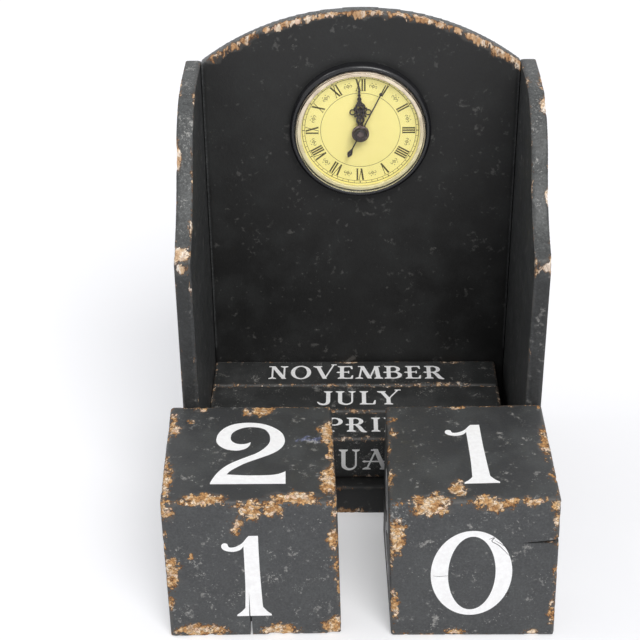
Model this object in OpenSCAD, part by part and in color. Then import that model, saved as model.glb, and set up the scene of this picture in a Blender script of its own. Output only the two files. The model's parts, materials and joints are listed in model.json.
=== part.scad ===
// Desk clock with a perpetual calendar: a painted wooden case that stands like a small high-backed seat,
// a round quartz clock pressed into its back board, three square month bars on the base board,
// and two date cubes that stand in front of it.
// Frame: X to the viewer's right, Y to the rear, Z up. The origin is the centre of the case's footprint.

/* [Case] */
// Clear width between the two side boards
inner_w = 145; // [142:1:160]
// Thickness of the side boards and the back board
board_t = 7.2; // [6:0.2:9]
// Depth of the side boards, front to rear
case_d = 94.4; // [90:0.2:110]
// Height of the side boards
side_h = 195.5; // [185:0.5:215]
// Height of the back board at the top of its arch
arch_h = 220.3; // [218:0.5:240]
// Flat length along the top of a side board, in front of the back board
side_flat = 18; // [10:1:25]
// Radius of the round shoulder of a side board
shoulder_r = 42; // [36:1:46]
// Radius of the hollow sweep between shoulder and arm
sweep_r = 60; // [56:1:66]
// Angle at which the shoulder turns into the sweep
sweep_angle = 25.2; // [22:0.2:28]
// Thickness of the base board
base_t = 15.2; // [12:0.2:18]
// Depth of the base board in front of the back board
base_d = 76; // [74:0.5:80]
// Radius of the panel pins' shanks
pin_r = 0.7; // [0.5:0.1:1]
// Length of the panel pins
pin_len = 20; // [16:1:26]

/* [Calendar] */
// Side of a month bar's square section
bar_w = 22.6; // [20:0.2:23.5]
// How much shorter a month bar is than the space between the side boards
bar_slack = 5; // [4:0.5:12]
// Gap between a bar and its neighbours
bar_gap = 0.2; // [0.1:0.1:0.5]
// Side of a date cube
cube_w = 70; // [60:1:75]
// Eased edge of bars and cubes
ease = 0.8; // [0.3:0.1:1.5]
// Distance from the case's front to the middle of a cube
cube_gap = 36.5; // [36.5:0.5:60]
// Distance from the centre line to the middle of the left cube
left_cube_x = 47.4; // [40:0.1:60]
// Distance from the centre line to the middle of the right cube
right_cube_x = 45.3; // [40:0.1:60]
// Turn of the left cube
left_cube_turn = 1.8; // [0:0.1:3]
// Turn of the right cube
right_cube_turn = 1.1; // [0:0.1:3]

/* [Clock body] */
// Distance from the top of the arch down to the clock's centre
clock_drop = 55.9; // [48:0.1:66]
// Outer diameter of the bezel
bezel_d = 65; // [64:0.5:72]
// Thickness of the bezel's lip over the lens
lip_t = 0.9; // [0.6:0.1:2]
// Radius of the hole in the back board
hole_r = 29.6; // [29.4:0.1:30.4]
// Thickness of the rubber band between cup and hole
band_t = 0.6; // [0.4:0.1:0.8]
// Thickness of the cup's rear wall
cup_back = 1.3; // [0.8:0.1:3]
// Height of the dial above the board
dial_lift = 2.5; // [1.5:0.1:3.5]
// Radius of the dial
dial_r = 28; // [27:0.1:28.2]
// Thickness of the dial
dial_t = 0.5; // [0.3:0.1:0.6]
// Height of the bright ring above the dial
ring_h = 1.5; // [1:0.1:2.5]
// Thickness of the lens
lens_t = 0.9; // [0.6:0.1:1.2]

/* [Hands] */
// Length of the hour hand
hour_len = 16.2; // [14:0.2:18]
// Length of the minute hand
minute_len = 25; // [22:0.5:25.5]
// Length of the second hand
second_len = 26; // [22:0.5:27]
// Length of the second hand's tail
tail_len = 13.3; // [10:0.1:15]
// Thickness of a hand's sheet
hand_t = 0.3; // [0.2:0.05:0.4]
// Radius of the second hand's cap
cap_r = 3.9; // [3:0.1:5]
// Height of the second hand's cap
cap_h = 2.2; // [1.5:0.1:3]
// Angle of the hour hand, clockwise from twelve
hour_at = -0.2; // [-30:0.1:30]
// Angle of the minute hand, clockwise from twelve
minute_at = -2; // [-30:0.5:30]
// Angle of the second hand, clockwise from twelve
second_at = 25.8; // [0:0.1:60]

/* [Movement] */
// Side of the square movement
move_w = 37; // [36.8:0.1:37.4]
// Thickness of its front plate
plate_t = 1; // [0.8:0.1:1.2]
// Thickness of its cover's walls
wall_t = 1.2; // [1:0.1:1.4]
// Module of the going train's teeth
mod_train = 0.2; // [0.19:0.01:0.2]
// Module of the motion work's larger pair
mod_motion = 0.32; // [0.31:0.01:0.33]
// Radius of the seconds arbor
arbor_r = 0.45; // [0.35:0.05:0.5]
// Wall of the minute pipe and of the hour tube
pipe_t = 0.45; // [0.4:0.05:0.55]
// Radial running clearance
run = 0.05; // [0.03:0.01:0.06]
// Radius of the gear pivots
pivot_r = 0.3; // [0.2:0.05:0.35]
// Radius of the button cell
cell_r = 5.8; // [5.4:0.1:5.9]
// Thickness of the button cell
cell_t = 5.4; // [5:0.1:5.4]
// Radius of the setting knob
knob_r = 4.2; // [3.5:0.1:4.6]
// Height of the setting knob
knob_h = 2.7; // [2:0.1:4]

/* [Hidden] */
$fn = 96;
big = 500;

// Case, worked out from the sizes above
front_y = -case_d / 2;
rear_y = case_d / 2;
face_y = rear_y - board_t; // front face of the back board
shoulder_c = [face_y - side_flat, side_h - shoulder_r];
turn_dir = [-cos(sweep_angle), sin(sweep_angle)];
turn_pt = shoulder_c + shoulder_r * turn_dir;
sweep_c = shoulder_c + (shoulder_r + sweep_r) * turn_dir;
arch_rise = arch_h - side_h;
arch_r = (pow(inner_w / 2, 2) + pow(arch_rise, 2)) / (2 * arch_rise);
pin_head_r = 2 * pin_r;
pin_head_t = 0.6;
back_pin_z = [0.2, 0.57, 0.93] * side_h; // pins from the sides into the back board
base_pin_y = [-0.75, -0.25] * base_d; // pins from the sides into the base board
rear_pin_x = [-0.35, 0, 0.35] * inner_w; // pins from the rear into the base board

// Calendar
bar_len = inner_w - bar_slack;
bar_pitch = bar_w + bar_gap;
bar_x = -inner_w / 2 + bar_gap + bar_len / 2; // pushed against the left side board
cube_y = front_y - cube_gap;

// Clock: local z points at the viewer and is 0 on the dial's front
clock_z = arch_h - clock_drop;
bezel_r = bezel_d / 2;
cup_r = hole_r - band_t;
cup_t = 2.2; // wall of the cup
ring_r = hole_r + 0.15;
ring_in = dial_r + 0.1;
flange_r = ring_r + 0.45; // flange of the cup, and rim of the lens
lens_seat = ring_h + lens_t;
lip_r = ring_r - 0.05;
hand_gap = 0.4; // least gap between neighbouring hands, and between hand and lens
boss_t = 0.35; // collar that a hand stands on its pipe with
hour_z = 1.2;
minute_z = hour_z + hand_t + boss_t + hand_gap;
second_z = minute_z + hand_t + boss_t + hand_gap + 0.1;
lens_in = lip_r - 0.2 - lens_t; // inner radius of the lens's wall
wall_z = second_z + hand_t + hand_gap; // where the lens's wall turns into its dome
dome_rise = cap_h - hand_t;

// Movement levels, as depths behind the dial's front
slack = 0.1; // axial and fitting clearance inside the movement
front_top = dial_t + slack;
front_end = front_top + plate_t;
hour_lvl = front_end + 0.6;
wheel_t = 0.5;
minute_lvl = hour_lvl + 1.8;
middle_top = minute_lvl + 1.4;
middle_t = 0.8;
middle_end = middle_top + middle_t;
centre_lvl = middle_end + 0.4;
fifth_lvl = centre_lvl + 1;
third_lvl = fifth_lvl + 0.8;
second_lvl = third_lvl + 0.9;
back_top = second_lvl + 1.5; // inner face of the back cover
back_end = back_top + wall_t;
cup_end = back_end + slack + cup_back;
pivot_deep = 0.5; // how far a pivot goes into the back cover
stator_lvl = centre_lvl - 0.1;
stator_t = 0.6;
magnet_r = 2.2;
stator_hole = magnet_r + 0.4;
stator_ring = stator_hole + 0.8;

// Teeth
hour_n = 40;
hour_pinion_n = 10;
minute_n = 36;
cannon_n = 12;
centre_n = 64;
third_pinion_n = 8;
third_n = 60;
second_pinion_n = 8;
second_n = 60;
fifth_pinion_n = 10;
fifth_n = 40;
rotor_pinion_n = 8;
mod_hour = mod_motion * (minute_n + cannon_n) / (hour_n + hour_pinion_n);
mod_centre = mod_train * (third_n + second_pinion_n) / (centre_n + third_pinion_n);

// Axes in the clock's plane, x to the right and y up
fifth_dir = 90;
third_dir = 210;
minute_dir = 0;
rotor_dir = 140; // seen from the fifth wheel
fifth_at = polar(mod_train * (second_n + fifth_pinion_n) / 2, fifth_dir);
third_at = polar(mod_train * (third_n + second_pinion_n) / 2, third_dir);
minute_wheel_at = polar(mod_motion * (minute_n + cannon_n) / 2, minute_dir);
rotor_at = fifth_at + polar(mod_train * (fifth_n + rotor_pinion_n) / 2, rotor_dir);

pipe_in = arbor_r + run;
pipe_r = pipe_in + pipe_t;
tube_in = pipe_r + run;
tube_r = tube_in + pipe_t;
knob_arbor_r = 0.9;
inner_half = move_w / 2 - wall_t;
cell_at = [inner_half - cell_r - 0.5, -(inner_half - cell_r - 0.5)];
hatch_r = cell_r + 0.35;
coil_r = 2.2;
coil_x = -(inner_half - coil_r - 0.9);
elbow_x = coil_x + coil_r + 1.6; // where the stator's arms bend towards the rotor
bobbin_r = 1.2;
stud_r = 1.2;
studs = [[-6, -14], [1.5, 15]]; // they hold the middle plate between front plate and cover
crystal_r = 0.75;
crystal_len = 5;
coil_low = -0.5;
coil_high = 13.5;
coil_depth = stator_lvl + stator_t / 2;
core_w = 1.6;
flange_t = 0.5;
post_at = inner_half - 1.2;
post_r = 1.3;
screw_r = 0.6;
board_low = [5.4, 3.8];
board_high = [inner_half - 0.3, post_at - post_r - 0.2];
board_lvl = third_lvl - 0.4;
circuit_t = 0.8;
contact_t = 0.2;
contact_y = board_low[1] + 2; // where the contacts meet the circuit board

function polar(r, a) = r * [cos(a), sin(a)];
function flat(list) = [for (l = list) each l];

// Outline of a wheel's teeth: one tooth is centred on the angle tooth_at
function tooth_points(n, m, tooth_at) =
  let (pitch = 360 / n, root = m * (n / 2 - 1.25), tip = m * (n / 2 + 0.85))
  flat([for (i = [0 : n - 1]) let (a = tooth_at + i * pitch)
    [polar(root, a - 0.27 * pitch), polar(tip, a - 0.12 * pitch),
     polar(tip, a + 0.12 * pitch), polar(root, a + 0.27 * pitch)]]);

// A toothed disc from depth lvl to lvl + t behind the dial
module teeth(n, m, tooth_at, lvl, t)
  translate([0, 0, -lvl - t]) linear_extrude(t) polygon(tooth_points(n, m, tooth_at));

// A plain disc or shaft from depth top to depth end
module shaft(r, top, end)
  translate([0, 0, -end]) cylinder(r = r, h = end - top);

module at(p) translate([p[0], p[1], 0]) children();

// Puts a clock piece into the case
module in_clock() translate([0, face_y - dial_lift, clock_z]) rotate([90, 0, 0]) children();

// A block with its edges eased by c, standing on z = 0 and centred in x and y
module eased_block(w, d, h, c) {
  module bar2d(a, b) polygon([
    [-a / 2 + c, -b / 2], [a / 2 - c, -b / 2], [a / 2, -b / 2 + c], [a / 2, b / 2 - c],
    [a / 2 - c, b / 2], [-a / 2 + c, b / 2], [-a / 2, b / 2 - c], [-a / 2, -b / 2 + c]]);
  translate([0, 0, h / 2]) intersection() {
    linear_extrude(h, center = true) bar2d(w, d);
    rotate([90, 0, 0]) linear_extrude(d, center = true) bar2d(w, h);
    rotate([90, 0, 90]) linear_extrude(w, center = true) bar2d(d, h);
  }
}

// ---- Case ----

// One panel pin along +z, its head's face on z = 0
module pin() {
  cylinder(r = pin_head_r, h = pin_head_t, $fn = 24);
  cylinder(r = pin_r, h = pin_len, $fn = 24);
}

module all_pins() {
  outer = inner_w / 2 + board_t;
  for (s = [-1, 1]) {
    for (z = back_pin_z) translate([s * outer, face_y + board_t / 2, z]) rotate([0, -s * 90, 0]) pin();
    for (y = base_pin_y) translate([s * outer, face_y + y, base_t / 2]) rotate([0, -s * 90, 0]) pin();
  }
  for (x = rear_pin_x) translate([x, rear_y, base_t / 2]) rotate([90, 0, 0]) pin();
}

// Side board seen from its side: flat top, round shoulder, hollow sweep down to the arm's sharp corner
module side_outline() intersection() {
  difference() {
    union() {
      translate([front_y, 0]) square([case_d, turn_pt[1]]);
      translate([shoulder_c[0], 0]) square([rear_y - shoulder_c[0], side_h]);
      translate(shoulder_c) circle(r = shoulder_r, $fn = 180);
    }
    translate(sweep_c) circle(r = sweep_r, $fn = 240);
  }
  translate([front_y, 0]) square([case_d, side_h]);
}

module side_board(s) color([0.12, 0.12, 0.12]) difference() {
  translate([s * (inner_w + board_t) / 2 - board_t / 2, 0, 0]) rotate([90, 0, 90])
    linear_extrude(board_t) side_outline();
  all_pins();
}

module left_side_board() side_board(-1);
module right_side_board() side_board(1);

module back_board() color([0.12, 0.12, 0.12]) difference() {
  translate([0, rear_y, 0]) rotate([90, 0, 0]) linear_extrude(board_t) {
    translate([-inner_w / 2, 0]) square([inner_w, side_h]);
    intersection() {
      translate([-inner_w / 2, side_h / 2]) square([inner_w, arch_h]);
      translate([0, arch_h - arch_r]) circle(r = arch_r, $fn = 360);
    }
  }
  in_clock() cylinder(r = hole_r, h = big, center = true);
  all_pins();
}

module base_board() color([0.12, 0.12, 0.12]) difference() {
  translate([-inner_w / 2, face_y - base_d, 0]) cube([inner_w, base_d, base_t]);
  all_pins();
}

module panel_pins() color([0.3, 0.29, 0.28]) all_pins();

// ---- Calendar ----

module month_bar(i) color([0.13, 0.13, 0.13])
  translate([bar_x, face_y - bar_gap - bar_w / 2 - i * bar_pitch, base_t])
    eased_block(bar_len, bar_w, bar_w, ease);

module month_bar_rear() month_bar(0);
module month_bar_middle() month_bar(1);
module month_bar_front() month_bar(2);

module date_cube(x, turn) color([0.15, 0.15, 0.15])
  translate([x, cube_y, 0]) rotate([0, 0, turn]) eased_block(cube_w, cube_w, cube_w, ease);

module date_cube_left() date_cube(-left_cube_x, left_cube_turn);
module date_cube_right() date_cube(right_cube_x, right_cube_turn);

// ---- Clock body ----

// The black ring: round over its crest, bored for cup flange, bright ring and lens, with a lip over the lens
module clock_bezel() color([0.05, 0.05, 0.06]) in_clock() {
  top = lens_seat + lip_t;
  half = (bezel_r - lip_r) / 2;
  difference() {
    rotate_extrude() {
      translate([bezel_r - half, top - half]) circle(r = half, $fn = 64);
      translate([lip_r, -dial_lift]) square([2 * half, top - half + dial_lift]);
    }
    translate([0, 0, -dial_lift - 1]) cylinder(r = flange_r + run, h = dial_lift + 1 + lens_seat);
  }
}

// Profile of a domed cap: radius r, straight up to z, then an arc that rises by rise
module dome2d(r, z, rise) {
  arc_r = (r * r + rise * rise) / (2 * rise);
  square([r, z]);
  intersection() {
    translate([0, z + rise - arc_r]) circle(r = arc_r, $fn = 360);
    square([r, z + rise]);
  }
}

// The lens: a flat rim on the bright ring, a low wall, and a shallow dome of even thickness
module clock_lens() color([0.9, 0.92, 0.92, 0.35]) in_clock() rotate_extrude() difference() {
  union() {
    translate([0, ring_h]) square([flange_r, lens_t]);
    translate([0, ring_h]) dome2d(lens_in + lens_t, wall_z + lens_t - ring_h, dome_rise);
  }
  dome2d(lens_in, wall_z, dome_rise);
}

module dial_ring() color([0.78, 0.72, 0.6]) in_clock() rotate_extrude()
  polygon([[ring_in, 0], [ring_r, 0], [ring_r, ring_h], [ring_in + 0.25, ring_h], [ring_in, ring_h - 0.25]]);

module dial_plate() color([0.95, 0.89, 0.55]) in_clock() difference() {
  shaft(dial_r, 0, dial_t);
  shaft(tube_r + 0.3, -1, dial_t + 1);
}

// The cup through the board: a flange on the board, a rebate for the dial, and a square window at the rear
module clock_cup() color([0.09, 0.09, 0.09]) in_clock() difference() {
  union() {
    shaft(cup_r, 0, cup_end);
    shaft(flange_r, 0, dial_lift);
  }
  shaft(ring_in, -1, dial_t);
  shaft(cup_r - cup_t, -1, back_end + slack);
  linear_extrude(big, center = true) square(2 * inner_half, center = true);
}

module grip_band() color([0.2, 0.2, 0.2]) in_clock() difference() {
  shaft(hole_r - run, dial_lift + 1, dial_lift + board_t - 1);
  shaft(cup_r, 0, cup_end);
}

// ---- Hands, modelled at twelve o'clock in the clock's plane ----

module hand_at(angle, z) in_clock() rotate([0, 0, -angle]) translate([0, 0, z]) children();

// A flat shape from the right half of its outline, with heights given as shares of len
module blade2d(half, len) polygon(concat(
  [for (p = half) [p[0], p[1] * len]],
  [for (i = [len(half) - 1 : -1 : 0]) [-half[i][0], half[i][1] * len]]));

module ring2d(r, w) difference() {
  circle(r = r, $fn = 32);
  circle(r = r - w, $fn = 32);
}

// Neck, broad heart with three eyes, a loop on each side, and a short point
module hour_hand() color([0.2, 0.17, 0.16]) hand_at(hour_at, hour_z) difference() {
  union() {
    linear_extrude(hand_t) {
      difference() {
        blade2d([[1.35, 0], [1.25, 0.24], [2.2, 0.39], [2, 0.5], [2.3, 0.6], [2, 0.69], [1.3, 0.77],
          [0.6, 0.87], [0.12, 1]], hour_len);
        for (e = [[0.25, 0.47], [-0.3, 0.6], [-1.2, 0.66]])
          translate([e[0], e[1] * hour_len]) circle(r = 0.3, $fn = 16);
      }
      for (side = [-1, 1]) {
        translate([side * 3.6, 0.59 * hour_len]) ring2d(1.5, 0.55);
        translate([side * 2.6, 0.7 * hour_len]) circle(r = 0.55, $fn = 16);
      }
    }
    linear_extrude(hand_t + boss_t) circle(r = tube_r + 1.4);
  }
  translate([0, 0, -1]) cylinder(r = tube_r, h = 3);
}

// Long point over a small swelling with two curled leaves
module minute_hand() color([0.2, 0.17, 0.16]) hand_at(minute_at, minute_z) difference() {
  union() {
    linear_extrude(hand_t) {
      blade2d([[1.1, 0], [0.9, 0.3], [1, 0.42], [1.9, 0.5], [1.05, 0.58], [0.7, 0.7], [0.45, 0.82], [0.12, 1]],
        minute_len);
      for (side = [-1, 1]) translate([side * 1.6, 0.47 * minute_len]) circle(r = 0.5, $fn = 16);
    }
    linear_extrude(hand_t + boss_t) circle(r = pipe_r + 1.4);
  }
  translate([0, 0, -1]) cylinder(r = pipe_r, h = 3);
}

// Thin rod with a bead near its tip, a leaf on its tail, and a round cap
module second_hand() color([0.2, 0.17, 0.16]) hand_at(second_at, second_z) difference() {
  union() {
    linear_extrude(hand_t) {
      blade2d([[0.32, 0], [0.28, 0.78], [0.2, 1]], second_len);
      translate([0, second_len * 0.81]) circle(r = 0.8, $fn = 24);
      rotate(180) blade2d([[0.28, 0], [0.28, 0.65], [1.25, 0.84], [0.9, 0.91], [0.1, 1]], tail_len);
    }
    cylinder(r = cap_r, h = cap_h / 2);
    cylinder(r1 = cap_r, r2 = cap_r * 0.75, h = cap_h);
  }
  translate([0, 0, -1]) cylinder(r = arbor_r, h = 1 + cap_h / 2);
}

// ---- Movement ----

module corner_posts(r, top, end)
  for (x = [-1, 1], y = [-1, 1]) at([x * post_at, y * post_at]) shaft(r, top, end);

module movement_front_plate() color([0.85, 0.85, 0.82]) in_clock() difference() {
  union() {
    translate([0, 0, -front_end]) linear_extrude(plate_t) square(move_w, center = true);
    for (p = studs) at(p) shaft(stud_r, front_end - 0.1, middle_top);
  }
  shaft(tube_r + run, 0, front_end + 1);
  at(minute_wheel_at) shaft(pivot_r + run, front_end - 0.6, front_end + 1);
  corner_posts(screw_r, front_end - 0.8, front_end + 1);
}

module movement_middle_plate() color([0.8, 0.82, 0.85]) in_clock() difference() {
  translate([0, 0, -middle_end]) linear_extrude(middle_t) difference() {
    square(2 * (inner_half - slack), center = true);
    translate(cell_at) {
      circle(r = cell_r + 0.6);
      translate([0, -big]) square(big);
    }
    translate([coil_x + coil_r + 0.5 - big, coil_low - 1.5]) square(big);
    for (x = [-1, 1], y = [-1, 1]) translate([x, y] * post_at) square(2 * (post_r + slack), center = true);
    translate([cell_at[0] - 1.2, contact_y - 1.2]) square([2.4, 1.4]);
  }
  shaft(pipe_r + run, 0, back_end);
  at(minute_wheel_at) shaft(knob_arbor_r + run, 0, back_end);
  for (p = [third_at, fifth_at, rotor_at]) at(p) shaft(pivot_r + run, 0, back_end);
}

// Open box behind the plates: screw posts, posts for the circuit board, and a round mouth for the cell
module movement_back_cover() color([0.88, 0.88, 0.86]) in_clock() {
  difference() {
    union() {
      difference() {
        translate([0, 0, -back_end]) linear_extrude(back_end - front_end) square(move_w, center = true);
        translate([0, 0, -back_top]) linear_extrude(back_top) square(2 * inner_half, center = true);
      }
      corner_posts(post_r, front_end, back_top + 0.1);
      at(board_high - [2.5, 2.5]) shaft(1, board_lvl + circuit_t, back_top + 0.1);
      at([board_high[0] - 2.5, contact_y]) shaft(1, board_lvl + circuit_t, back_top + 0.1);
      for (p = studs) at(p) shaft(stud_r, middle_end, back_top + 0.1);
    }
    corner_posts(screw_r, 0, back_end + 1);
    at(minute_wheel_at) shaft(knob_arbor_r + run, 0, back_end + 1);
    at(cell_at) shaft(hatch_r + run, back_top - 0.5, back_end + 1);
    for (p = [[0, 0], third_at, fifth_at, rotor_at])
      at(p) shaft(pivot_r + run, back_top - 1, back_top + pivot_deep);
  }
}

module movement_screws() color([0.6, 0.6, 0.62]) in_clock() difference() {
  union() {
    corner_posts(screw_r, front_end - 0.7, back_end);
    corner_posts(post_r - 0.2, back_end, back_end + 0.6);
  }
  for (x = [-1, 1], y = [-1, 1]) at([x * post_at, y * post_at])
    translate([0, 0, -back_end - 0.6]) cube([0.3, 2.6, 0.5], center = true);
}

module hour_wheel() color([0.85, 0.75, 0.45]) in_clock() difference() {
  union() {
    teeth(hour_n, mod_hour, minute_dir, hour_lvl, wheel_t);
    shaft(tube_r, -hour_z - hand_t - boss_t, hour_lvl + wheel_t + 0.6);
  }
  shaft(tube_in, -hour_z - 2, hour_lvl + 3);
}

// The wheel that turns with the setting knob: wheel, pinion and a long arbor out of the back
module minute_wheel() color([0.9, 0.9, 0.9]) in_clock() at(minute_wheel_at) {
  teeth(minute_n, mod_motion, minute_dir + 180 + 180 / minute_n, minute_lvl, wheel_t + 0.1);
  teeth(hour_pinion_n, mod_hour, minute_dir + 180 + 180 / hour_pinion_n, hour_lvl - 0.2,
    minute_lvl - hour_lvl + 0.2);
  shaft(pivot_r, front_end - 0.5, hour_lvl);
  shaft(knob_arbor_r, minute_lvl + wheel_t, back_end + 0.3 + knob_h / 2);
}

module minute_pipe() color([0.85, 0.75, 0.45]) in_clock() difference() {
  union() {
    shaft(pipe_r, -minute_z - hand_t - boss_t, centre_lvl + wheel_t + 0.3);
    teeth(cannon_n, mod_motion, minute_dir, minute_lvl - 0.5, 1.5);
    shaft(pipe_r + 0.4, centre_lvl + wheel_t + 0.05, centre_lvl + wheel_t + 0.3);
  }
  shaft(pipe_in, -minute_z - 2, centre_lvl + 3);
}

module centre_wheel() color([0.85, 0.75, 0.45]) in_clock() difference() {
  teeth(centre_n, mod_centre, third_dir, centre_lvl, wheel_t);
  shaft(pipe_r + run / 2, centre_lvl - 1, centre_lvl + 2);
}

module third_wheel() color([0.9, 0.9, 0.9]) in_clock() at(third_at) {
  teeth(third_pinion_n, mod_centre, third_dir + 180 + 180 / third_pinion_n, centre_lvl - 0.2,
    third_lvl - centre_lvl + 0.2);
  teeth(third_n, mod_train, third_dir + 180 + 180 / third_n, third_lvl, wheel_t);
  shaft(pivot_r, middle_top + 0.2, back_top + pivot_deep - slack);
}

module second_wheel() color([0.9, 0.9, 0.9]) in_clock() {
  teeth(second_pinion_n, mod_train, third_dir, third_lvl - 0.5, second_lvl - third_lvl + 0.5);
  teeth(second_n, mod_train, fifth_dir, second_lvl, wheel_t);
  shaft(arbor_r, -second_z - cap_h / 2, second_lvl + 0.2);
  shaft(pivot_r, second_lvl, back_top + pivot_deep - slack);
}

module fifth_wheel() color([0.9, 0.9, 0.9]) in_clock() at(fifth_at) {
  teeth(fifth_n, mod_train, rotor_dir, fifth_lvl, wheel_t);
  teeth(fifth_pinion_n, mod_train, fifth_dir + 180 + 180 / fifth_pinion_n, second_lvl - 0.3, wheel_t + 0.6);
  shaft(pivot_r, middle_top + 0.2, back_top + pivot_deep - slack);
}

module motor_rotor() color([0.3, 0.3, 0.32]) in_clock() at(rotor_at) {
  shaft(magnet_r, stator_lvl - 0.1, stator_lvl + stator_t + 0.1);
  teeth(rotor_pinion_n, mod_train, rotor_dir + 180 + 180 / rotor_pinion_n, fifth_lvl - 0.3, wheel_t + 0.6);
  shaft(pivot_r, middle_top + 0.2, back_top + pivot_deep - slack);
}

// One iron plate: a ring round the rotor, two arms, and the core that carries the coil
module motor_stator() color([0.6, 0.6, 0.62]) in_clock()
  translate([0, 0, -stator_lvl - stator_t]) linear_extrude(stator_t) difference() {
    union() {
      translate(rotor_at) circle(r = stator_ring);
      for (p = [[coil_high + 1, rotor_at + [0, 1]], [coil_low - 1, rotor_at + [-2.2, -1.5]]]) {
        arm([coil_x, p[0]], [elbow_x, p[0]]);
        arm([elbow_x, p[0]], p[1]);
      }
      arm([coil_x, coil_low - 1], [coil_x, coil_high + 1]);
    }
    translate(rotor_at) circle(r = stator_hole);
  }

// A straight strip from a to b with a round end at a
module arm(a, b) {
  v = b - a;
  translate(a) rotate(atan2(v[1], v[0])) translate([0, -core_w / 2]) square([norm(v), core_w]);
  translate(a) circle(r = core_w / 2, $fn = 32);
}

module on_coil(y) translate([coil_x, y, -coil_depth]) rotate([-90, 0, 0]) children();

module coil_bobbin() color([0.2, 0.35, 0.25]) in_clock() difference() {
  union() {
    on_coil(coil_low) cylinder(r = coil_r, h = flange_t);
    on_coil(coil_high - flange_t) cylinder(r = coil_r, h = flange_t);
    on_coil(coil_low) cylinder(r = bobbin_r, h = coil_high - coil_low);
  }
  on_coil(coil_low - 1) translate([-core_w / 2 - slack / 2, -stator_t / 2 - slack / 2, 0])
    cube([core_w + slack, stator_t + slack, coil_high - coil_low + 2]);
}

module coil_winding() color([0.72, 0.38, 0.2]) in_clock() difference() {
  on_coil(coil_low + flange_t) cylinder(r = coil_r - 0.2, h = coil_high - coil_low - 2 * flange_t);
  on_coil(coil_low) cylinder(r = bobbin_r, h = coil_high - coil_low);
}

module circuit_board() color([0.15, 0.4, 0.2]) in_clock()
  translate([board_low[0], board_low[1], -board_lvl - circuit_t])
    linear_extrude(circuit_t) difference() {
      square(board_high - board_low);
      translate([-0.1, board_high[1] - board_low[1] - 2]) square([1.5, 2.1]);
    }

module control_chip() color([0.08, 0.08, 0.08]) in_clock()
  at((board_low + board_high) / 2 - [1.5, 1.5]) shaft(1.8, board_lvl - 0.9, board_lvl);

module quartz_crystal() color([0.75, 0.75, 0.78]) in_clock()
  translate([board_high[0] - crystal_len - 1, board_high[1] - 2, -board_lvl + crystal_r])
    rotate([0, 90, 0]) cylinder(r = crystal_r, h = crystal_len);

module button_cell() color([0.75, 0.75, 0.77]) in_clock() at(cell_at) {
  shaft(cell_r, back_top - cell_t + 0.4, back_top);
  shaft(cell_r - 1, back_top - cell_t, back_top);
}

// A strip on the cell's front face, over the middle plate, with a leg down to the circuit board
module cell_contact_negative() color([0.8, 0.7, 0.4]) in_clock()
  translate([cell_at[0] - 1, cell_at[1] - 2, -(back_top - cell_t)]) {
    translate([-1, 0, 0]) cube([4, 4, contact_t]);
    cube([2, contact_y - cell_at[1] + 2, contact_t]);
    translate([0, contact_y - cell_at[1] + 1, -(board_lvl - back_top + cell_t)])
      cube([2, 1, board_lvl - back_top + cell_t + contact_t]);
  }

// A strip between the cell's rim and the cover's wall, up to the circuit board
module cell_contact_positive() color([0.8, 0.7, 0.4]) in_clock()
  translate([inner_half - contact_t, cell_at[1] - 3, -(back_top - 0.4)])
    cube([contact_t, contact_y - cell_at[1] + 3, cell_t - 1.5]);

module battery_hatch() color([0.88, 0.88, 0.86]) in_clock() at(cell_at) difference() {
  shaft(hatch_r, back_top + 0.02, back_end);
  translate([0, 0, -back_end]) cube([7, 1, 0.8], center = true);
}

module setting_knob() color([0.85, 0.2, 0.2]) in_clock() at(minute_wheel_at) difference() {
  union() {
    shaft(knob_r, back_end + 0.9, back_end + 0.3 + knob_h);
    shaft(knob_r * 0.5, back_end + 0.3, back_end + 1);
    for (i = [0 : 23]) rotate(i * 15) translate([knob_r, 0, 0])
      shaft(0.25, back_end + 0.9, back_end + 0.3 + knob_h, $fn = 16);
  }
  shaft(knob_arbor_r, back_end, back_end + 0.3 + knob_h / 2);
}

back_board();
left_side_board();
right_side_board();
base_board();
panel_pins();
month_bar_front();
month_bar_middle();
month_bar_rear();
date_cube_left();
date_cube_right();
clock_bezel();
clock_lens();
dial_ring();
dial_plate();
clock_cup();
grip_band();
hour_hand();
minute_hand();
second_hand();
movement_front_plate();
movement_middle_plate();
movement_back_cover();
movement_screws();
hour_wheel();
minute_wheel();
minute_pipe();
centre_wheel();
third_wheel();
second_wheel();
fifth_wheel();
motor_rotor();
motor_stator();
coil_bobbin();
coil_winding();
circuit_board();
control_chip();
quartz_crystal();
button_cell();
cell_contact_negative();
cell_contact_positive();
battery_hatch();
setting_knob();
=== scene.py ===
# A desk clock with a perpetual calendar: worn black paint on a wooden case, white months on three bars,
# white numerals on two cubes, and a small round clock with a pale gold dial
import json
import math

import bpy
import numpy as np
from mathutils import Matrix, Vector, kdtree, noise


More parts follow.
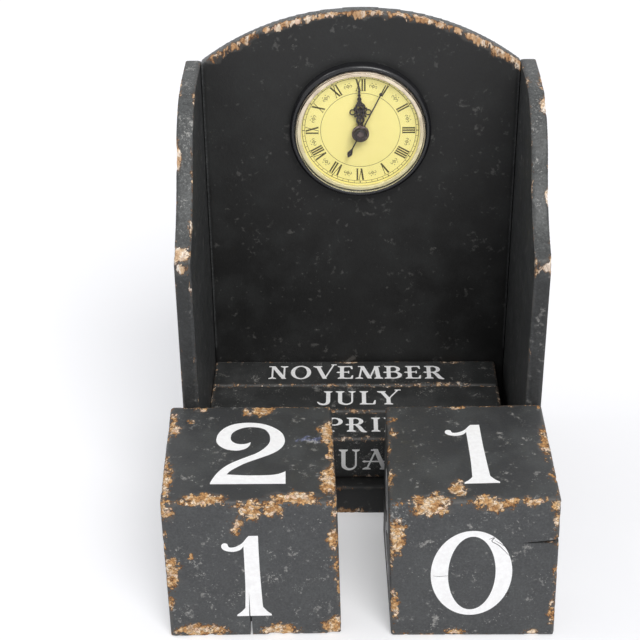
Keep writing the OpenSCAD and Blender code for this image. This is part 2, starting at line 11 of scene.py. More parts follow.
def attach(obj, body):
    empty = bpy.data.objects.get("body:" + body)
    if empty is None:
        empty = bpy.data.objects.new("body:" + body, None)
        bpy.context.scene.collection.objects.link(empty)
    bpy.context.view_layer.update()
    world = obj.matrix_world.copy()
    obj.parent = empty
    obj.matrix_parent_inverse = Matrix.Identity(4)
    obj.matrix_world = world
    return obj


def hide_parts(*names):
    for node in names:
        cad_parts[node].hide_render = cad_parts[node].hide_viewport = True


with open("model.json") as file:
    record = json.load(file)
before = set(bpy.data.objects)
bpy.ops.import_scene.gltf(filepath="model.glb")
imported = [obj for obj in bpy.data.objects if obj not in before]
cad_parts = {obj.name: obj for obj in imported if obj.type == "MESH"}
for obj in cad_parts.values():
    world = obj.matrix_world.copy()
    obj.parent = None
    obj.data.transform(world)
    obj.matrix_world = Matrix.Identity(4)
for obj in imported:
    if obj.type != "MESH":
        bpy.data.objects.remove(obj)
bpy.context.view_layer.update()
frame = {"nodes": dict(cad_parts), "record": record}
nodes = frame["nodes"]
scene = bpy.context.scene
scene.view_settings.view_transform = "Standard"
MM = 0.001
PAPER_LIFT = 0.3  # the paper glows by this much to the eye alone

# ---- Camera: the photographer stood in front of the clock and looked down at it ----

CAMERA_AT = (-8.34, -618.95, 453.24)  # mm
YAW, PITCH, ROLL = (math.radians(a) for a in (-0.98079, 30.7295, -0.66265))
LENS = 87.07  # mm on a 36 mm sensor

ahead = Vector((math.sin(YAW) * math.cos(PITCH), math.cos(YAW) * math.cos(PITCH), -math.sin(PITCH)))
level = Vector((math.cos(YAW), -math.sin(YAW), 0))
upward = level.cross(ahead)
side = math.cos(ROLL) * level + math.sin(ROLL) * upward
top = math.cos(ROLL) * upward - math.sin(ROLL) * level
camera = bpy.data.objects.new("camera", bpy.data.cameras.new("camera"))
scene.collection.objects.link(camera)
camera.matrix_world = Matrix.Translation(Vector(CAMERA_AT) * MM) @ Matrix((side, top,
    -ahead)).transposed().to_4x4()
camera.data.lens = LENS
camera.data.sensor_width = 36
camera.data.clip_start = 0.01
camera.data.clip_end = 20
scene.camera = camera
bpy.ops.object.select_all(action="DESELECT")

# ---- Places, in mm, the same as in the part's source ----

FACE_Y = 40.0  # front face of the back board
DIAL_Y = 37.5  # front of the dial
CLOCK_Z = 164.4
PIN_SIDE_YZ = [(43.6, 39.1), (43.6, 111.435), (43.6, 181.815), (-17, 7.6), (21, 7.6)]
PIN_REAR_X, PIN_REAR_Z = (-50.75, 0, 50.75), 7.6
PIN_CLEAR = 1.5  # whatever lies this near a pin's axis belongs to its bore
PIN_HEAD_R = 1.45
PIN_HEAD_FLAT = 0.11  # share of a ball's height left in a head that was filed down
SIDE_FACE_X, REAR_FACE_Y = 79.7, 47.2  # outer faces of the side boards and the back board
CUBE = 70.0
LEFT_CUBE = Matrix.Translation((-47.4, -83.7, 0)) @ Matrix.Rotation(math.radians(1.8), 4, "Z")
RIGHT_CUBE = Matrix.Translation((45.3, -83.7, 0)) @ Matrix.Rotation(math.radians(1.1), 4, "Z")
BAR_W = 22.6
BAR_MIDDLE_Z = 26.5
BAR_Y = {"front": -17.1, "middle": 5.7, "rear": 28.5}

# ---- Helpers for materials ----


def colour(code):
    """An sRGB hex colour as the linear numbers that a shader takes."""
    parts = [int(code[i : i + 2], 16) / 255 for i in (1, 3, 5)]
    return [c / 12.92 if c <= 0.04045 else ((c + 0.055) / 1.055) ** 2.4 for c in parts] + [1.0]


def add(tree, kind, inputs=None, stops=None, **settings):
    """Adds a node. inputs are values or other nodes' outputs, by socket; stops are a colour ramp's."""
    made = tree.nodes.new("ShaderNode" + kind)
    for key, value in settings.items():
        setattr(made, key, value)
    for key, value in (inputs or {}).items():
        if isinstance(value, bpy.types.NodeSocket):
            tree.links.new(value, made.inputs[key])
        else:
            made.inputs[key].default_value = value
    if stops:
        ramp = made.color_ramp.elements
        while len(ramp) < len(stops):
            ramp.new(0.5)
        for stop, (place, code) in zip(ramp, stops):
            stop.position = place
            stop.color = colour(code)
    return made


def start(name, **plain):
    """A new material with its Principled shader, whose plain sockets are set here."""
    made = bpy.data.materials.new(name)
    made.use_nodes = True
    tree = made.node_tree
    tree.nodes.clear()
    shader = add(tree, "BsdfPrincipled", {k.replace("_", " "): v for k, v in plain.items()})
    add(tree, "OutputMaterial", {"Surface": shader.outputs[0]})
    place = add(tree, "TexCoord").outputs["Object"]
    return made, tree, shader, place


def per_mm(size):
    """The scale of a pattern whose cells are size mm wide."""
    return 1 / (size * MM)


def specks(tree, place, size, detail=2.0, roughness=0.5, output="Fac"):
    """Noise whose widest features are about size mm across; detail and roughness set the finer ones."""
    return add(tree, "TexNoise", {"Vector": place, "Scale": per_mm(size), "Detail": detail,
                                  "Roughness": roughness}).outputs[output]


def span(tree, value, low, high, to_low=0.0, to_high=1.0):
    """value from low..high to to_low..to_high, with soft ends."""
    return add(tree, "MapRange", {"Value": value, "From Min": low, "From Max": high, "To Min": to_low,
                                  "To Max": to_high}, interpolation_type="SMOOTHSTEP").outputs[0]


def blend_colour(tree, factor, a, b):
    return add(tree, "Mix", {0: factor, 6: a, 7: b}, data_type="RGBA").outputs[2]


def sums(tree, a, b, c=0.0, operation="MULTIPLY_ADD"):
    return add(tree, "Math", {0: a, 1: b, 2: c}, operation=operation).outputs[0]


def into(tree, shader, socket, value):
    tree.links.new(value, shader.inputs[socket])


def seen_by_eye(tree):
    """1 for rays that carry a picture to the eye, straight, mirrored or through the lens, else 0."""
    rays = add(tree, "LightPath").outputs
    direct = sums(tree, rays["Is Camera Ray"], rays["Is Glossy Ray"], operation="MAXIMUM")
    return sums(tree, direct, rays["Is Transmission Ray"], operation="MAXIMUM")


# How paint breaks off, in mm: crumbs, their ragged edges, and crowds of them
CRUMB, RAGGED_EDGE, CLUMP = 1.6, 1.0, 3.4
# The wood lies open where the sum of "bare" and of those three noises passes this
BARE_FROM, BARE_ALL = 4.8, 4.94


def chipped_paint(name, paint, cloud, rubbed_and_sheen, dusty, roughness, woods, grain=1.0, gap_shade=0.4,
        scuffs=(0.5, 0.36), arris=0.3):
    """Black milk paint brushed on pine and sanded through: a dusty flat black with granular tan chips.

    "bare" on the piece says where the chips are, and a second attribute where hands and cloths have greyed the
    paint and where a lighter grey is painted in for sheen and light.
    woods are five shades of the bare wood; grain below 1 draws the chips out along the board; the argument
    after grain sets the painted shade in the gaps between crumbs; scuffs are the strengths of the fine and the
    broad pale marks, arris that of the line beside an arris."""
    made, tree, shader, place = start(name, Specular_IOR_Level=0.42)
    bare = add(tree, "Attribute", attribute_name="bare").outputs["Fac"]
    rub_and_sheen = add(tree, "Attribute", attribute_name="rub_and_sheen").outputs["Fac"]
    # paint breaks off in crumbs 1 to 2 mm wide, with a ragged edge of half a millimetre
    drawn = add(tree, "Mapping", {"Vector": place, "Scale": (1, 1, grain)}).outputs[0]
    bent = specks(tree, drawn, 1.5, output="Color")
    shifted = add(tree, "VectorMath", {0: bent, 1: (0.0016,) * 3, 2: drawn},
        operation="MULTIPLY_ADD").outputs[0]
    crumbs = add(tree, "TexVoronoi", {"Vector": shifted, "Scale": per_mm(CRUMB)})
    gaps = add(tree, "TexVoronoi", {"Vector": shifted, "Scale": per_mm(CRUMB)},
        feature="DISTANCE_TO_EDGE").outputs["Distance"]
    ragged = specks(tree, drawn, RAGGED_EDGE, 4.0, 0.65)
    clumps = specks(tree, drawn, CLUMP)
    luck = add(tree, "SeparateColor", {"Color": crumbs.outputs["Color"]})
    amount = sums(tree, luck.outputs[1], 1.3, bare)
    amount = sums(tree, ragged, 4.4, amount)
    amount = sums(tree, clumps, 3.6, amount)
    chip = span(tree, amount, BARE_FROM, BARE_ALL)
    depth = span(tree, amount, 4.86, 5.9)
    drift = specks(tree, shifted, 3, 1.0)
    shade = sums(tree, luck.outputs[0], 0.45, span(tree, drift, 0.36, 0.64, 0.0, 0.55))
    wood = add(tree, "ValToRGB", {"Fac": shade}, stops=list(zip((0.0, 0.3, 0.55, 0.8, 1.0),
        woods))).outputs[0]
    broad = specks(tree, place, 7)
    wood = blend_colour(tree, span(tree, broad, 0.48, 0.7, 0.0, 0.5), wood, colour(woods[0]))
    wood = blend_colour(tree, span(tree, ragged, 0.34, 0.5, 0.55, 0.0), wood, colour("#7A5232"))
    # painted shade: the gaps between crumbs are darkened brown
    wood = blend_colour(tree, span(tree, gaps, 0.01, 0.1, gap_shade, 0.0), wood, colour("#4A2F1E"))
    # painted shadow: a dark brown rim just inside each chip, under the paint's broken edge
    wood = blend_colour(tree, depth, colour("#4C3222"), wood)
    # the paint itself: cloudy where hands have polished it, dusty with pale scuffs
    clouds = specks(tree, place, 15, 5.0, 0.6)
    fine = specks(tree, place, 0.9, 3.0, 0.7)
    crowd = specks(tree, place, 9, 4.0, 0.75)
    smear = specks(tree, place, 2.6, 3.0)
    tone = blend_colour(tree, span(tree, clouds, 0.4, 0.72, 0.0, 0.8), colour(paint), colour(cloud))
    # greyer by the rubbing attribute: partly rubbed paint, partly painted sheen and light
    worn = sums(tree, rub_and_sheen, span(tree, sums(tree, smear, 0.5, fine), 0.55, 0.95, 0.45, 1.15),
        operation="MULTIPLY")
    tone = blend_colour(tree, worn, tone, blend_colour(tree, span(tree, rub_and_sheen, 0.25, 0.6), colour("#696B6D"),
        colour(rubbed_and_sheen)))
    tone = blend_colour(tree, span(tree, fine, 0.3, 0.7, 0.25, 0.0), tone, colour("#0B0B0B"))
    tone = blend_colour(tree, span(tree, bare, -0.9, 0.3, 0.0, arris), tone, colour("#6A6560"))
    dust = sums(tree, crowd, 0.7, sums(tree, rub_and_sheen, 0.13, fine))
    tone = blend_colour(tree, span(tree, dust, 1.13 - dusty, 1.26 - dusty, 0.0, scuffs[0]), tone,
        colour("#B9B7B2"))
    tone = blend_colour(tree, span(tree, sums(tree, crowd, 1.2, smear), 1.25, 1.48, 0.0, scuffs[1]), tone,
        colour("#A8A6A2"))
    into(tree, shader, "Base Color", blend_colour(tree, chip, tone, wood))
    shine = span(tree, clouds, 0.35, 0.7, roughness, roughness + 0.14)
    into(tree, shader, "Roughness", sums(tree, chip, 0.4, shine))
    height = sums(tree, chip, -0.9, sums(tree, fine, 0.4, operation="MULTIPLY"))
    height = sums(tree, sums(tree, span(tree, gaps, 0.0, 0.25), chip, operation="MULTIPLY"), 0.7, height)
    bump = add(tree, "Bump", {"Strength": 0.6, "Distance": 0.0003, "Height": height})
    into(tree, shader, "Normal", bump.outputs[0])
    return made


def lettering_paint(name, white, worn):
    """White sign paint brushed through a stencil: flat, a little chalky, with pinholes worn through."""
    made, tree, shader, place = start(name, Specular_IOR_Level=0.4)
    patches = specks(tree, place, 2.2, 4.0, 0.7)
    tone = blend_colour(tree, span(tree, patches, 0.3, 0.7), colour(white), colour("#F5F4F4"))
    holes = span(tree, patches, worn, worn + 0.03)
    into(tree, shader, "Base Color", blend_colour(tree, holes, tone, colour("#4A4644")))
    into(tree, shader, "Roughness", span(tree, patches, 0.3, 0.7, 0.5, 0.65))
    return made


def plain_stuff(name, shades, grain_mm, roughness, bump=0.1, metallic=0.0, **sockets):
    """A moulded, rubbed or rolled surface: two close shades and a fine grain in colour, gloss and relief."""
    made, tree, shader, place = start(name, Metallic=metallic, **sockets)
    grain = specks(tree, place, grain_mm, 4.0)
    into(tree, shader, "Base Color", blend_colour(tree, span(tree, grain, 0.3, 0.7), *map(colour, shades)))
    into(tree, shader, "Roughness", span(tree, grain, 0.3, 0.7, *roughness))
    relief = add(tree, "Bump", {"Strength": bump, "Distance": 0.00005, "Height": grain})
    into(tree, shader, "Normal", relief.outputs[0])
    return made


# Paint on the case: nearly black inside, grey where sleeves and dusters have polished the front edges, a grey
# that also paints in the sheen and light that some faces catch
TAN = ("#A87A4E", "#CB9B66", "#E0BA8A", "#F8E6CE", "#E6BC9E")
PALE = ("#A97E56", "#C79C72", "#D8B794", "#EFE2D0", "#D8AD92")
WHITISH = ("#BE9A78", "#DBBB98", "#EBD6BC", "#FBF3E8", "#E9CDB6")
case_paint = chipped_paint("black_milk_paint_on_pine_case", "#202020", "#2C2D2D", "#646666", 0.03, 0.45, PALE,
    0.4, 0.3, (0.5, 0.16))
side_paint = chipped_paint("black_milk_paint_on_pine_sides", "#252626", "#323333", "#535555", 0.06, 0.45,
    WHITISH, 0.4, 0.3, (0.5, 0.4))
bar_paint = chipped_paint("black_milk_paint_on_pine_bars", "#313232", "#444545", "#4A4B4B", 0.15, 0.46,
    WHITISH, 1.0, 0.5, (0.6, 0.36))
cube_paint = chipped_paint("black_milk_paint_on_pine_cubes", "#3C3D3E", "#4A4C4C", "#6C7398", 0.1, 0.42, TAN,
    1.0, 0.6, (0.75, 0.6))
numeral_white = lettering_paint("white_sign_paint_numerals", "#FFFFFF", 0.76)
month_white = lettering_paint("white_sign_paint_months", "#FFFFFF", 0.7)

# Plain stuffs by the slot of the record: name, two shades, grain in mm, roughness, relief, metal. Each is
# headed by how its surface was made and what that gives the eye. The cap's lacquer and the ink have no slot.
PLAIN = {
    # moulded against a polished tool: deep black with crisp highlights that waver a little
    "black_gloss_plastic": ("gloss_black_abs", ("#19191C", "#202023"), 0.8, (0.18, 0.26), 0.05),
    # stamped thin, dipped and baked: a nearly black brown, half glossy and faintly mottled
    "dark_hands": ("dark_brown_lacquered_steel", ("#1F1A19", "#2E2625"), 0.6, (0.28, 0.38), 0.1),
    # turned smooth, then dipped in the hands' lacquer: its brown is painted lighter for the light the cap
    # catches, with a closer gloss
    "lit_cap_lacquer": ("dark_brown_lacquer_lit_cap", ("#453937", "#4F4240"), 0.6, (0.2, 0.26), 0.05),
    # pad printed: flat olive-brown, with a barely rough edge to its sheen
    "dial_ink": ("olive_brown_printing_ink", ("#3B3418", "#4A4220"), 0.3, (0.5, 0.6), 0.05),
    # moulded against a spark-eroded tool: fine pits that leave no highlight, only a grey bloom
    "black_plastic": ("matte_black_abs", ("#141415", "#1D1D1E"), 0.4, (0.5, 0.65), 0.3),
    # extruded and cured: dead black, with no highlight to speak of
    "black_rubber": ("black_nitrile_rubber", ("#101010", "#1A1A1A"), 0.5, (0.75, 0.85), 0.4),
    # moulded, unpainted: ivory with a low even sheen
    "white_plastic": ("ivory_white_abs", ("#DDDCD6", "#E6E5E0"), 0.5, (0.45, 0.55), 0.2),
    # moulded, naturally slippery: milky, a little waxy in its highlights
    "natural_plastic": ("natural_acetal", ("#E2E0D8", "#EDEBE4"), 0.4, (0.35, 0.45), 0.1),
    # rolled, cut and barrel plated: cool grey metal with a fine frosty grain
    "steel": ("zinc_plated_steel", ("#B4B5B8", "#C9CACC"), 0.3, (0.25, 0.4), 0.1, 1.0),
    # rolled and turned: warm yellow metal whose fine grain softens the highlight
    "brass": ("rolled_brass", ("#C9A352", "#DDBA6B"), 0.3, (0.25, 0.38), 0.1, 1.0),
    # pressed powder, sintered: charcoal grey with a dull sparkle
    "magnet": ("sintered_ferrite", ("#3B3B3E", "#4A4A4D"), 0.2, (0.5, 0.65), 0.3, 0.6),
    # stamped from annealed sheet: plain grey with a satin grain
    "iron": ("soft_iron_sheet", ("#8E8E92", "#A2A2A6"), 0.3, (0.35, 0.5), 0.1, 1.0),
    # moulded from filled nylon: green, slightly chalky
    "green_plastic": ("green_moulded_nylon", ("#2F5A3C", "#3A6A47"), 0.3, (0.45, 0.55), 0.2),
    # wound from enamelled wire: orange metal broken up by a very fine, strong relief
    "copper_wire": ("enamelled_copper_wire", ("#9E4B22", "#C26A36"), 0.12, (0.25, 0.4), 0.6, 1.0),
    # curtain coated: an even green with a soft gloss
    "circuit_green": ("green_solder_mask", ("#1D5A30", "#256A3A"), 0.6, (0.3, 0.4), 0.2),
    # moulded: a strong red, satin from its fine grain
    "red_plastic": ("red_moulded_abs", ("#A8241F", "#B8302A"), 0.4, (0.35, 0.45), 0.2),
    # hammered in, filed and painted over: the case's black, bumpier and a little rubbed
    "pin_steel": ("painted_over_pin_head", ("#202020", "#35332F"), 0.6, (0.45, 0.6), 0.6),
}
STUFF = {slot: plain_stuff(*settings) for slot, settings in PLAIN.items()}


def gold_dial():
    """Satin gold foil, printed on: almost even in tone, with a very fine grain that blurs what it mirrors."""
    made, tree, shader, place = start("satin_gold_dial_foil", Specular_IOR_Level=0.35, Metallic=0.0)
    centred = add(tree, "Mapping", {"Vector": place, "Location": (0, -DIAL_Y * MM, -CLOCK_Z * MM)}).outputs[0]
    radius = add(tree, "VectorMath", {0: centred}, operation="LENGTH").outputs["Value"]
    tone = blend_colour(tree, span(tree, radius, 0.012, 0.021), colour("#DACE86"), colour("#D8CE86"))
    grain = specks(tree, place, 0.35, 3.0)
    tone = blend_colour(tree, span(tree, grain, 0.3, 0.7, 0.0, 0.25), tone, colour("#D0C276"))
    into(tree, shader, "Base Color", tone)
    into(tree, shader, "Roughness", span(tree, grain, 0.3, 0.7, 0.35, 0.5))
    return made


def open_to_lamps(tree, shader):
    """Lets the lamps through a clear part, so that what lies under it isn't shaded."""
    through = add(tree, "BsdfTransparent")
    path = add(tree, "LightPath").outputs["Is Shadow Ray"]
    mixed = add(tree, "MixShader", {0: path, 1: shader.outputs[0], 2: through.outputs[0]})
    tree.links.new(mixed.outputs[0], tree.nodes["Material Output"].inputs["Surface"])


def clear_acrylic():
    """Clear moulded acrylic, polished, with a finger's faint smear: glass to the eye."""
    made, tree, shader, place = start("clear_acrylic_lens", Transmission_Weight=1.0, IOR=1.15)
    into(tree, shader, "Base Color", blend_colour(
        tree, specks(tree, place, 8), colour("#FCFDFD"), colour("#FFFFFF")))
    smear = specks(tree, place, 6, 3.0)
    into(tree, shader, "Roughness", span(tree, smear, 0.4, 0.7, 0.01, 0.04))
    open_to_lamps(tree, shader)
    return made


def champagne_acrylic():
    """Clear acrylic lacquered champagne on its back, with a painted reflection of the yellow dial in its lower
    part: a satin sheen.
    """
    made, tree, shader, place = start("champagne_tinted_acrylic", Specular_IOR_Level=0.6)
    drift = specks(tree, place, 9, 3.0)
    height = add(tree, "SeparateXYZ", {"Vector": place}).outputs["Z"]
    # painted reflection: lower down, the ring is tinted towards the dial's yellow
    painted_dial_reflection = span(tree, height, (CLOCK_Z - 24) * MM, (CLOCK_Z + 16) * MM, 0.85, 0.0)
    tone = blend_colour(tree, span(tree, drift, 0.35, 0.65), colour("#AC9C8A"), colour("#C4B7A2"))
    into(tree, shader, "Base Color", blend_colour(tree, painted_dial_reflection, tone, colour("#C8C093")))
    into(tree, shader, "Roughness", span(tree, drift, 0.3, 0.7, 0.2, 0.34))
    open_to_lamps(tree, shader)
    return made


STUFF.update(gold_dial=gold_dial(), clear_lens=clear_acrylic(), champagne_ring=champagne_acrylic(),
    case_paint=case_paint, bar_paint=bar_paint, cube_paint=cube_paint)

# ---- Helpers for meshes ----


def only(piece):
    bpy.ops.object.select_all(action="DESELECT")
    piece.select_set(True)
    bpy.context.view_layer.objects.active = piece


def finish_piece(piece, name, body, material, replaced=()):
    """Names a piece, gives it its material, and hangs it on its body."""
    piece.name = name
    piece.data.name = name
    piece.data.materials.clear()
    piece.data.materials.append(material)
    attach(piece, body)
    if replaced:
        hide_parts(*replaced)
    return piece


def vertex_values(mesh, what):
    """The "co" or the "normal" of every vertex, a row for each."""
    flat = np.zeros(len(mesh.vertices) * 3)
    mesh.vertices.foreach_get(what, flat)
    return flat.reshape(-1, 3)


def near_a_pin(p):
    """True for a point within a pin's bore. p is in mm."""
    if abs(p[0]) > 50 and any(math.hypot(p[1] - y, p[2] - z) < PIN_CLEAR for y, z in PIN_SIDE_YZ):
        return True
    return p[1] > 20 and any(math.hypot(p[0] - x, p[2] - PIN_REAR_Z) < PIN_CLEAR for x in PIN_REAR_X)


def merged_copy(node):
    """A copy of a CAD node's mesh, merged, with the pins' bores closed."""
    piece = bpy.data.objects.new(node, nodes[node].data.copy())
    scene.collection.objects.link(piece)
    only(piece)
    bpy.ops.object.mode_set(mode="EDIT")
    bpy.ops.mesh.select_all(action="SELECT")
    bpy.ops.mesh.remove_doubles(threshold=0.000002)
    bpy.ops.mesh.select_all(action="DESELECT")
    bpy.ops.object.mode_set(mode="OBJECT")
    bored = [near_a_pin(v.co / MM) for v in piece.data.vertices]
    found = False
    for polygon in piece.data.polygons:
        polygon.select = all(bored[i] for i in polygon.vertices)
        found = found or polygon.select
    if found:
        bpy.ops.object.mode_set(mode="EDIT")
        bpy.ops.mesh.select_mode(type="FACE")
        bpy.ops.mesh.delete(type="FACE")
        bpy.ops.mesh.select_all(action="SELECT")
        bpy.ops.mesh.fill_holes(sides=0)
        bpy.ops.object.mode_set(mode="OBJECT")
    return piece


def arris_tree(mesh, step=0.7):
    """Points along the sharp edges of a mesh, to measure how far a spot is from the nearest arris."""
    normals = {}
    for polygon in mesh.polygons:
        for key in polygon.edge_keys:
            normals.setdefault(key, []).append(polygon.normal.copy())
    places = []
    for (a, b), pair in normals.items():
        if len(pair) == 2 and pair[0].dot(pair[1]) < 0.9:
            p, q = mesh.vertices[a].co / MM, mesh.vertices[b].co / MM
            count = max(1, int((q - p).length / step))
            places += [p.lerp(q, i / count) for i in range(count + 1)]
    tree = kdtree.KDTree(len(places))
    for i, p in enumerate(places):
        tree.insert(p, i)
    tree.balance()
    return tree


def weathered(node, body, material, voxel, reach, relief, spots, seed, rub_and_sheen=None, bend=None, cracks=()):
    """A CAD board, bar or cube as a worn piece: a fine even mesh whose arrises have lost paint and crumbs.

    reach gives how far from an arris the paint goes on its own, in mm, at a place; spots are (centre, radii) of
    the larger chips; bend moves the finished shape out of square; cracks are wedges to cut out of it."""
    piece = merged_copy(node)
    tree = arris_tree(piece.data)
    remesh = piece.modifiers.new("even", "REMESH")
    remesh.mode = "VOXEL"
    remesh.voxel_size = voxel * MM
    only(piece)
    bpy.ops.object.modifier_apply(modifier="even")
    for crack in cracks:
        split(piece, crack)
    mesh = piece.data
    places = vertex_values(mesh, "co") / MM
    outward = vertex_values(mesh, "normal")
    drift = Vector((seed * 7.1, seed * 3.3, seed * 5.7))
    bare = np.empty(len(places))
    nibble = np.empty(len(places))
    warp = np.empty((len(places), 3))
    for i, p in enumerate(places):
        v = Vector(p)
        patch = noise.noise(v / 8.0 + drift) + 0.6 * noise.noise(v / 3.0 + drift)
        far = reach(p)
        bare[i] = far * (0.3 + 1.7 * patch) - min(tree.find(v)[2], 12.0) if far else -6
        nibble[i] = noise.noise(v / 1.3 + drift)
        warp[i] = noise.noise_vector(v / 3.0 + drift)
    for centre, radii in spots:
        offset = (places + warp * 1.8 - np.array(centre)) / np.array(radii)
        near = np.sqrt((offset**2).sum(1))
        bare = np.maximum(bare, (1 - near) * min(4.0, sorted(radii)[1]) - 0.1)
    bare = np.clip(bare, -6, 3)
    for crack in cracks:
        low, high = np.min(crack, 0) - 0.2, np.max(crack, 0) + 0.2
        inside = ((places > low) & (places < high)).all(1)
        bare[inside] = np.maximum(bare[inside], -1.0)
    lost = np.clip((bare + 0.7 * nibble) / 1.2, 0, 1)
    sunk = relief * lost * lost * (3 - 2 * lost) * (0.75 + 0.5 * nibble)
    places -= outward * sunk[:, None]
    # these values hold painted sheen and light as well as rubbing
    rubbed_and_sheen = rub_and_sheen(places, outward) if rub_and_sheen else np.zeros(len(places))
    if bend:
        places = bend(places)
    mesh.vertices.foreach_set("co", (places * MM).ravel())
    for name, values in (("bare", bare), ("rub_and_sheen", rubbed_and_sheen)):
        mesh.attributes.new(name, "FLOAT", "POINT").data.foreach_set("value", values.astype(np.float32))
    mesh.update()
    bpy.ops.object.shade_smooth_by_angle(angle=math.radians(40))
    return finish_piece(piece, "worn_" + node, body, material, (node,))


def split(piece, crack):
    """Opens a drying crack: crack is the six corners of a wedge, its mouth's two ends first."""
    mesh = bpy.data.meshes.new("crack")
    mesh.from_pydata([tuple(Vector(p) * MM) for p in crack], [],
        [(0, 1, 2), (3, 5, 4), (0, 3, 4, 1), (1, 4, 5, 2), (2, 5, 3, 0)])
    wedge = bpy.data.objects.new("crack", mesh)
    scene.collection.objects.link(wedge)
    only(wedge)
    bpy.ops.object.mode_set(mode="EDIT")
    bpy.ops.mesh.select_all(action="SELECT")
    bpy.ops.mesh.normals_make_consistent(inside=False)
    bpy.ops.object.mode_set(mode="OBJECT")
    cutter = piece.modifiers.new("crack", "BOOLEAN")
    cutter.operation = "DIFFERENCE"
    cutter.solver = "EXACT"
    cutter.object = wedge
    only(piece)
    bpy.ops.object.modifier_apply(modifier="crack")
    bpy.data.objects.remove(wedge)


def out_of_square(where, corners):
    """Moves the corners of a hand-cut cube by their own mm, and all between them in proportion."""
    back = np.array(where.inverted())

    def move(places):
        local = places @ back[:3, :3].T + back[:3, 3]
        across, along, up = np.clip(np.stack([local[:, 0] / CUBE + 0.5, local[:, 1] / CUBE + 0.5,
            local[:, 2] / CUBE]), 0, 1)
        moved = places.copy()
        for (right, rear, high), offset in corners.items():
            share = (across if right else 1 - across) * (along if rear else 1 - along) * (up if high
                else 1 - up)
            moved += share[:, None] * np.array(offset)
        return moved

    return move


# ---- The chips, read off the object as it stands. Lengths are in mm ----


def on_cube(place, face, chips, deep=2.4):
    """Chips on a cube's top or front, as (across, up, half width, half height) on that face."""
    half = CUBE / 2
    spots = []
    for x, y, rx, ry in chips:
        local = (x, y, CUBE) if face == "top" else (x, -half, y)
        radii = (rx, ry, deep) if face == "top" else (rx, deep, ry)
        spots.append((tuple(place @ Vector(local)), radii))
    return spots


LEFT_TOP = [(-20.8, 33, 3, 3.5), (-1.7, 30.5, 2, 4), (5.5, 32, 5.5, 4.5), (3.5, 26.7, 1.5, 1),
    (-27, 34.5, 4, 1.2), (20, 34.8, 10, 1), (-33.5, 22, 2.5, 8), (-32, 16.5, 3, 4), (-25.8, 22.6, 1.3, 2.5),
    (-33.8, -21, 3.5, 13), (33, 14, 3.5, 10), (28.5, 16, 1, 2.5), (34, -1, 1.8, 8), (32.5, -20, 4.5, 11),
    (-17.5, -32.5, 9.5, 4), (18, -32, 11, 4.5), (5, -34.5, 6, 1.5)]
LEFT_FRONT = [(-33.5, 65, 3.5, 4.5), (-6, 67.5, 2.5, 2.5), (0.5, 65.5, 5, 5.5), (9, 66.5, 5, 4.5),
    (-5.5, 58, 2.2, 4.5), (12, 63.8, 1.3, 1.3), (24, 69.5, 6, 1), (-32.5, 34, 4, 8.5), (-34, 19.5, 2, 3.5),
    (-24.3, 42.7, 1.2, 1.6), (33, 51, 3, 6.5), (34, 39, 2, 5), (-22, 3, 11.5, 4.5), (10.5, 2.5, 9, 4),
    (32, 4, 5, 6), (34.3, 25, 1.2, 6)]
RIGHT_TOP = [(-4, 34, 7.5, 1.8), (-16.5, 34.6, 2.5, 0.8), (34, 33, 1.5, 3), (-32.5, 24, 1.8, 3),
    (-32.5, 14.5, 2, 4), (-34, -18, 1.8, 6), (33, 6, 2.8, 13), (34, -19, 1.8, 4.5), (-17, -32.8, 9.5, 3.5),
    (-6.5, -26, 4, 5.5), (-15, -29.5, 2.5, 2.5), (5, -33.3, 7, 3), (23.5, -34, 6, 1.6)]
RIGHT_FRONT = [(-18, 66.5, 9, 4), (8, 67.5, 8, 3.5), (23.7, 68.5, 4.5, 2), (33, 67, 2.8, 4), (34, 59, 1.6, 5),
    (-32.5, 53, 4, 10.5), (-33.6, 17, 2.4, 9), (-8, 2, 5, 2.5), (25, 1.5, 4, 2), (33.8, 13.5, 2, 7)]

ARCH_R, ARCH_Z = 118.4, 101.9


def arch_spots():
    """Chips under the front arris of the arch, from x to x, with how deep they hang at their middle."""
    spots = []
    for start_x, end_x, hang in ((-67, -49, 3.2), (-41.5, -11, 2.6), (-3, 19.5, 2.6), (25, 50, 2.8),
            (48, 72, 4.2)):
        count = max(2, round((end_x - start_x) / 3.5))
        for i in range(count + 1):
            x = start_x + (end_x - start_x) * i / count
            z = ARCH_Z + math.sqrt(ARCH_R**2 - x**2)
            size = hang * (0.75 + 0.35 * noise.noise(Vector((x * 0.4, hang, 0))))
            spots.append(((x, FACE_Y, z - 0.4), (3.6, 2.6, size)))
    return spots


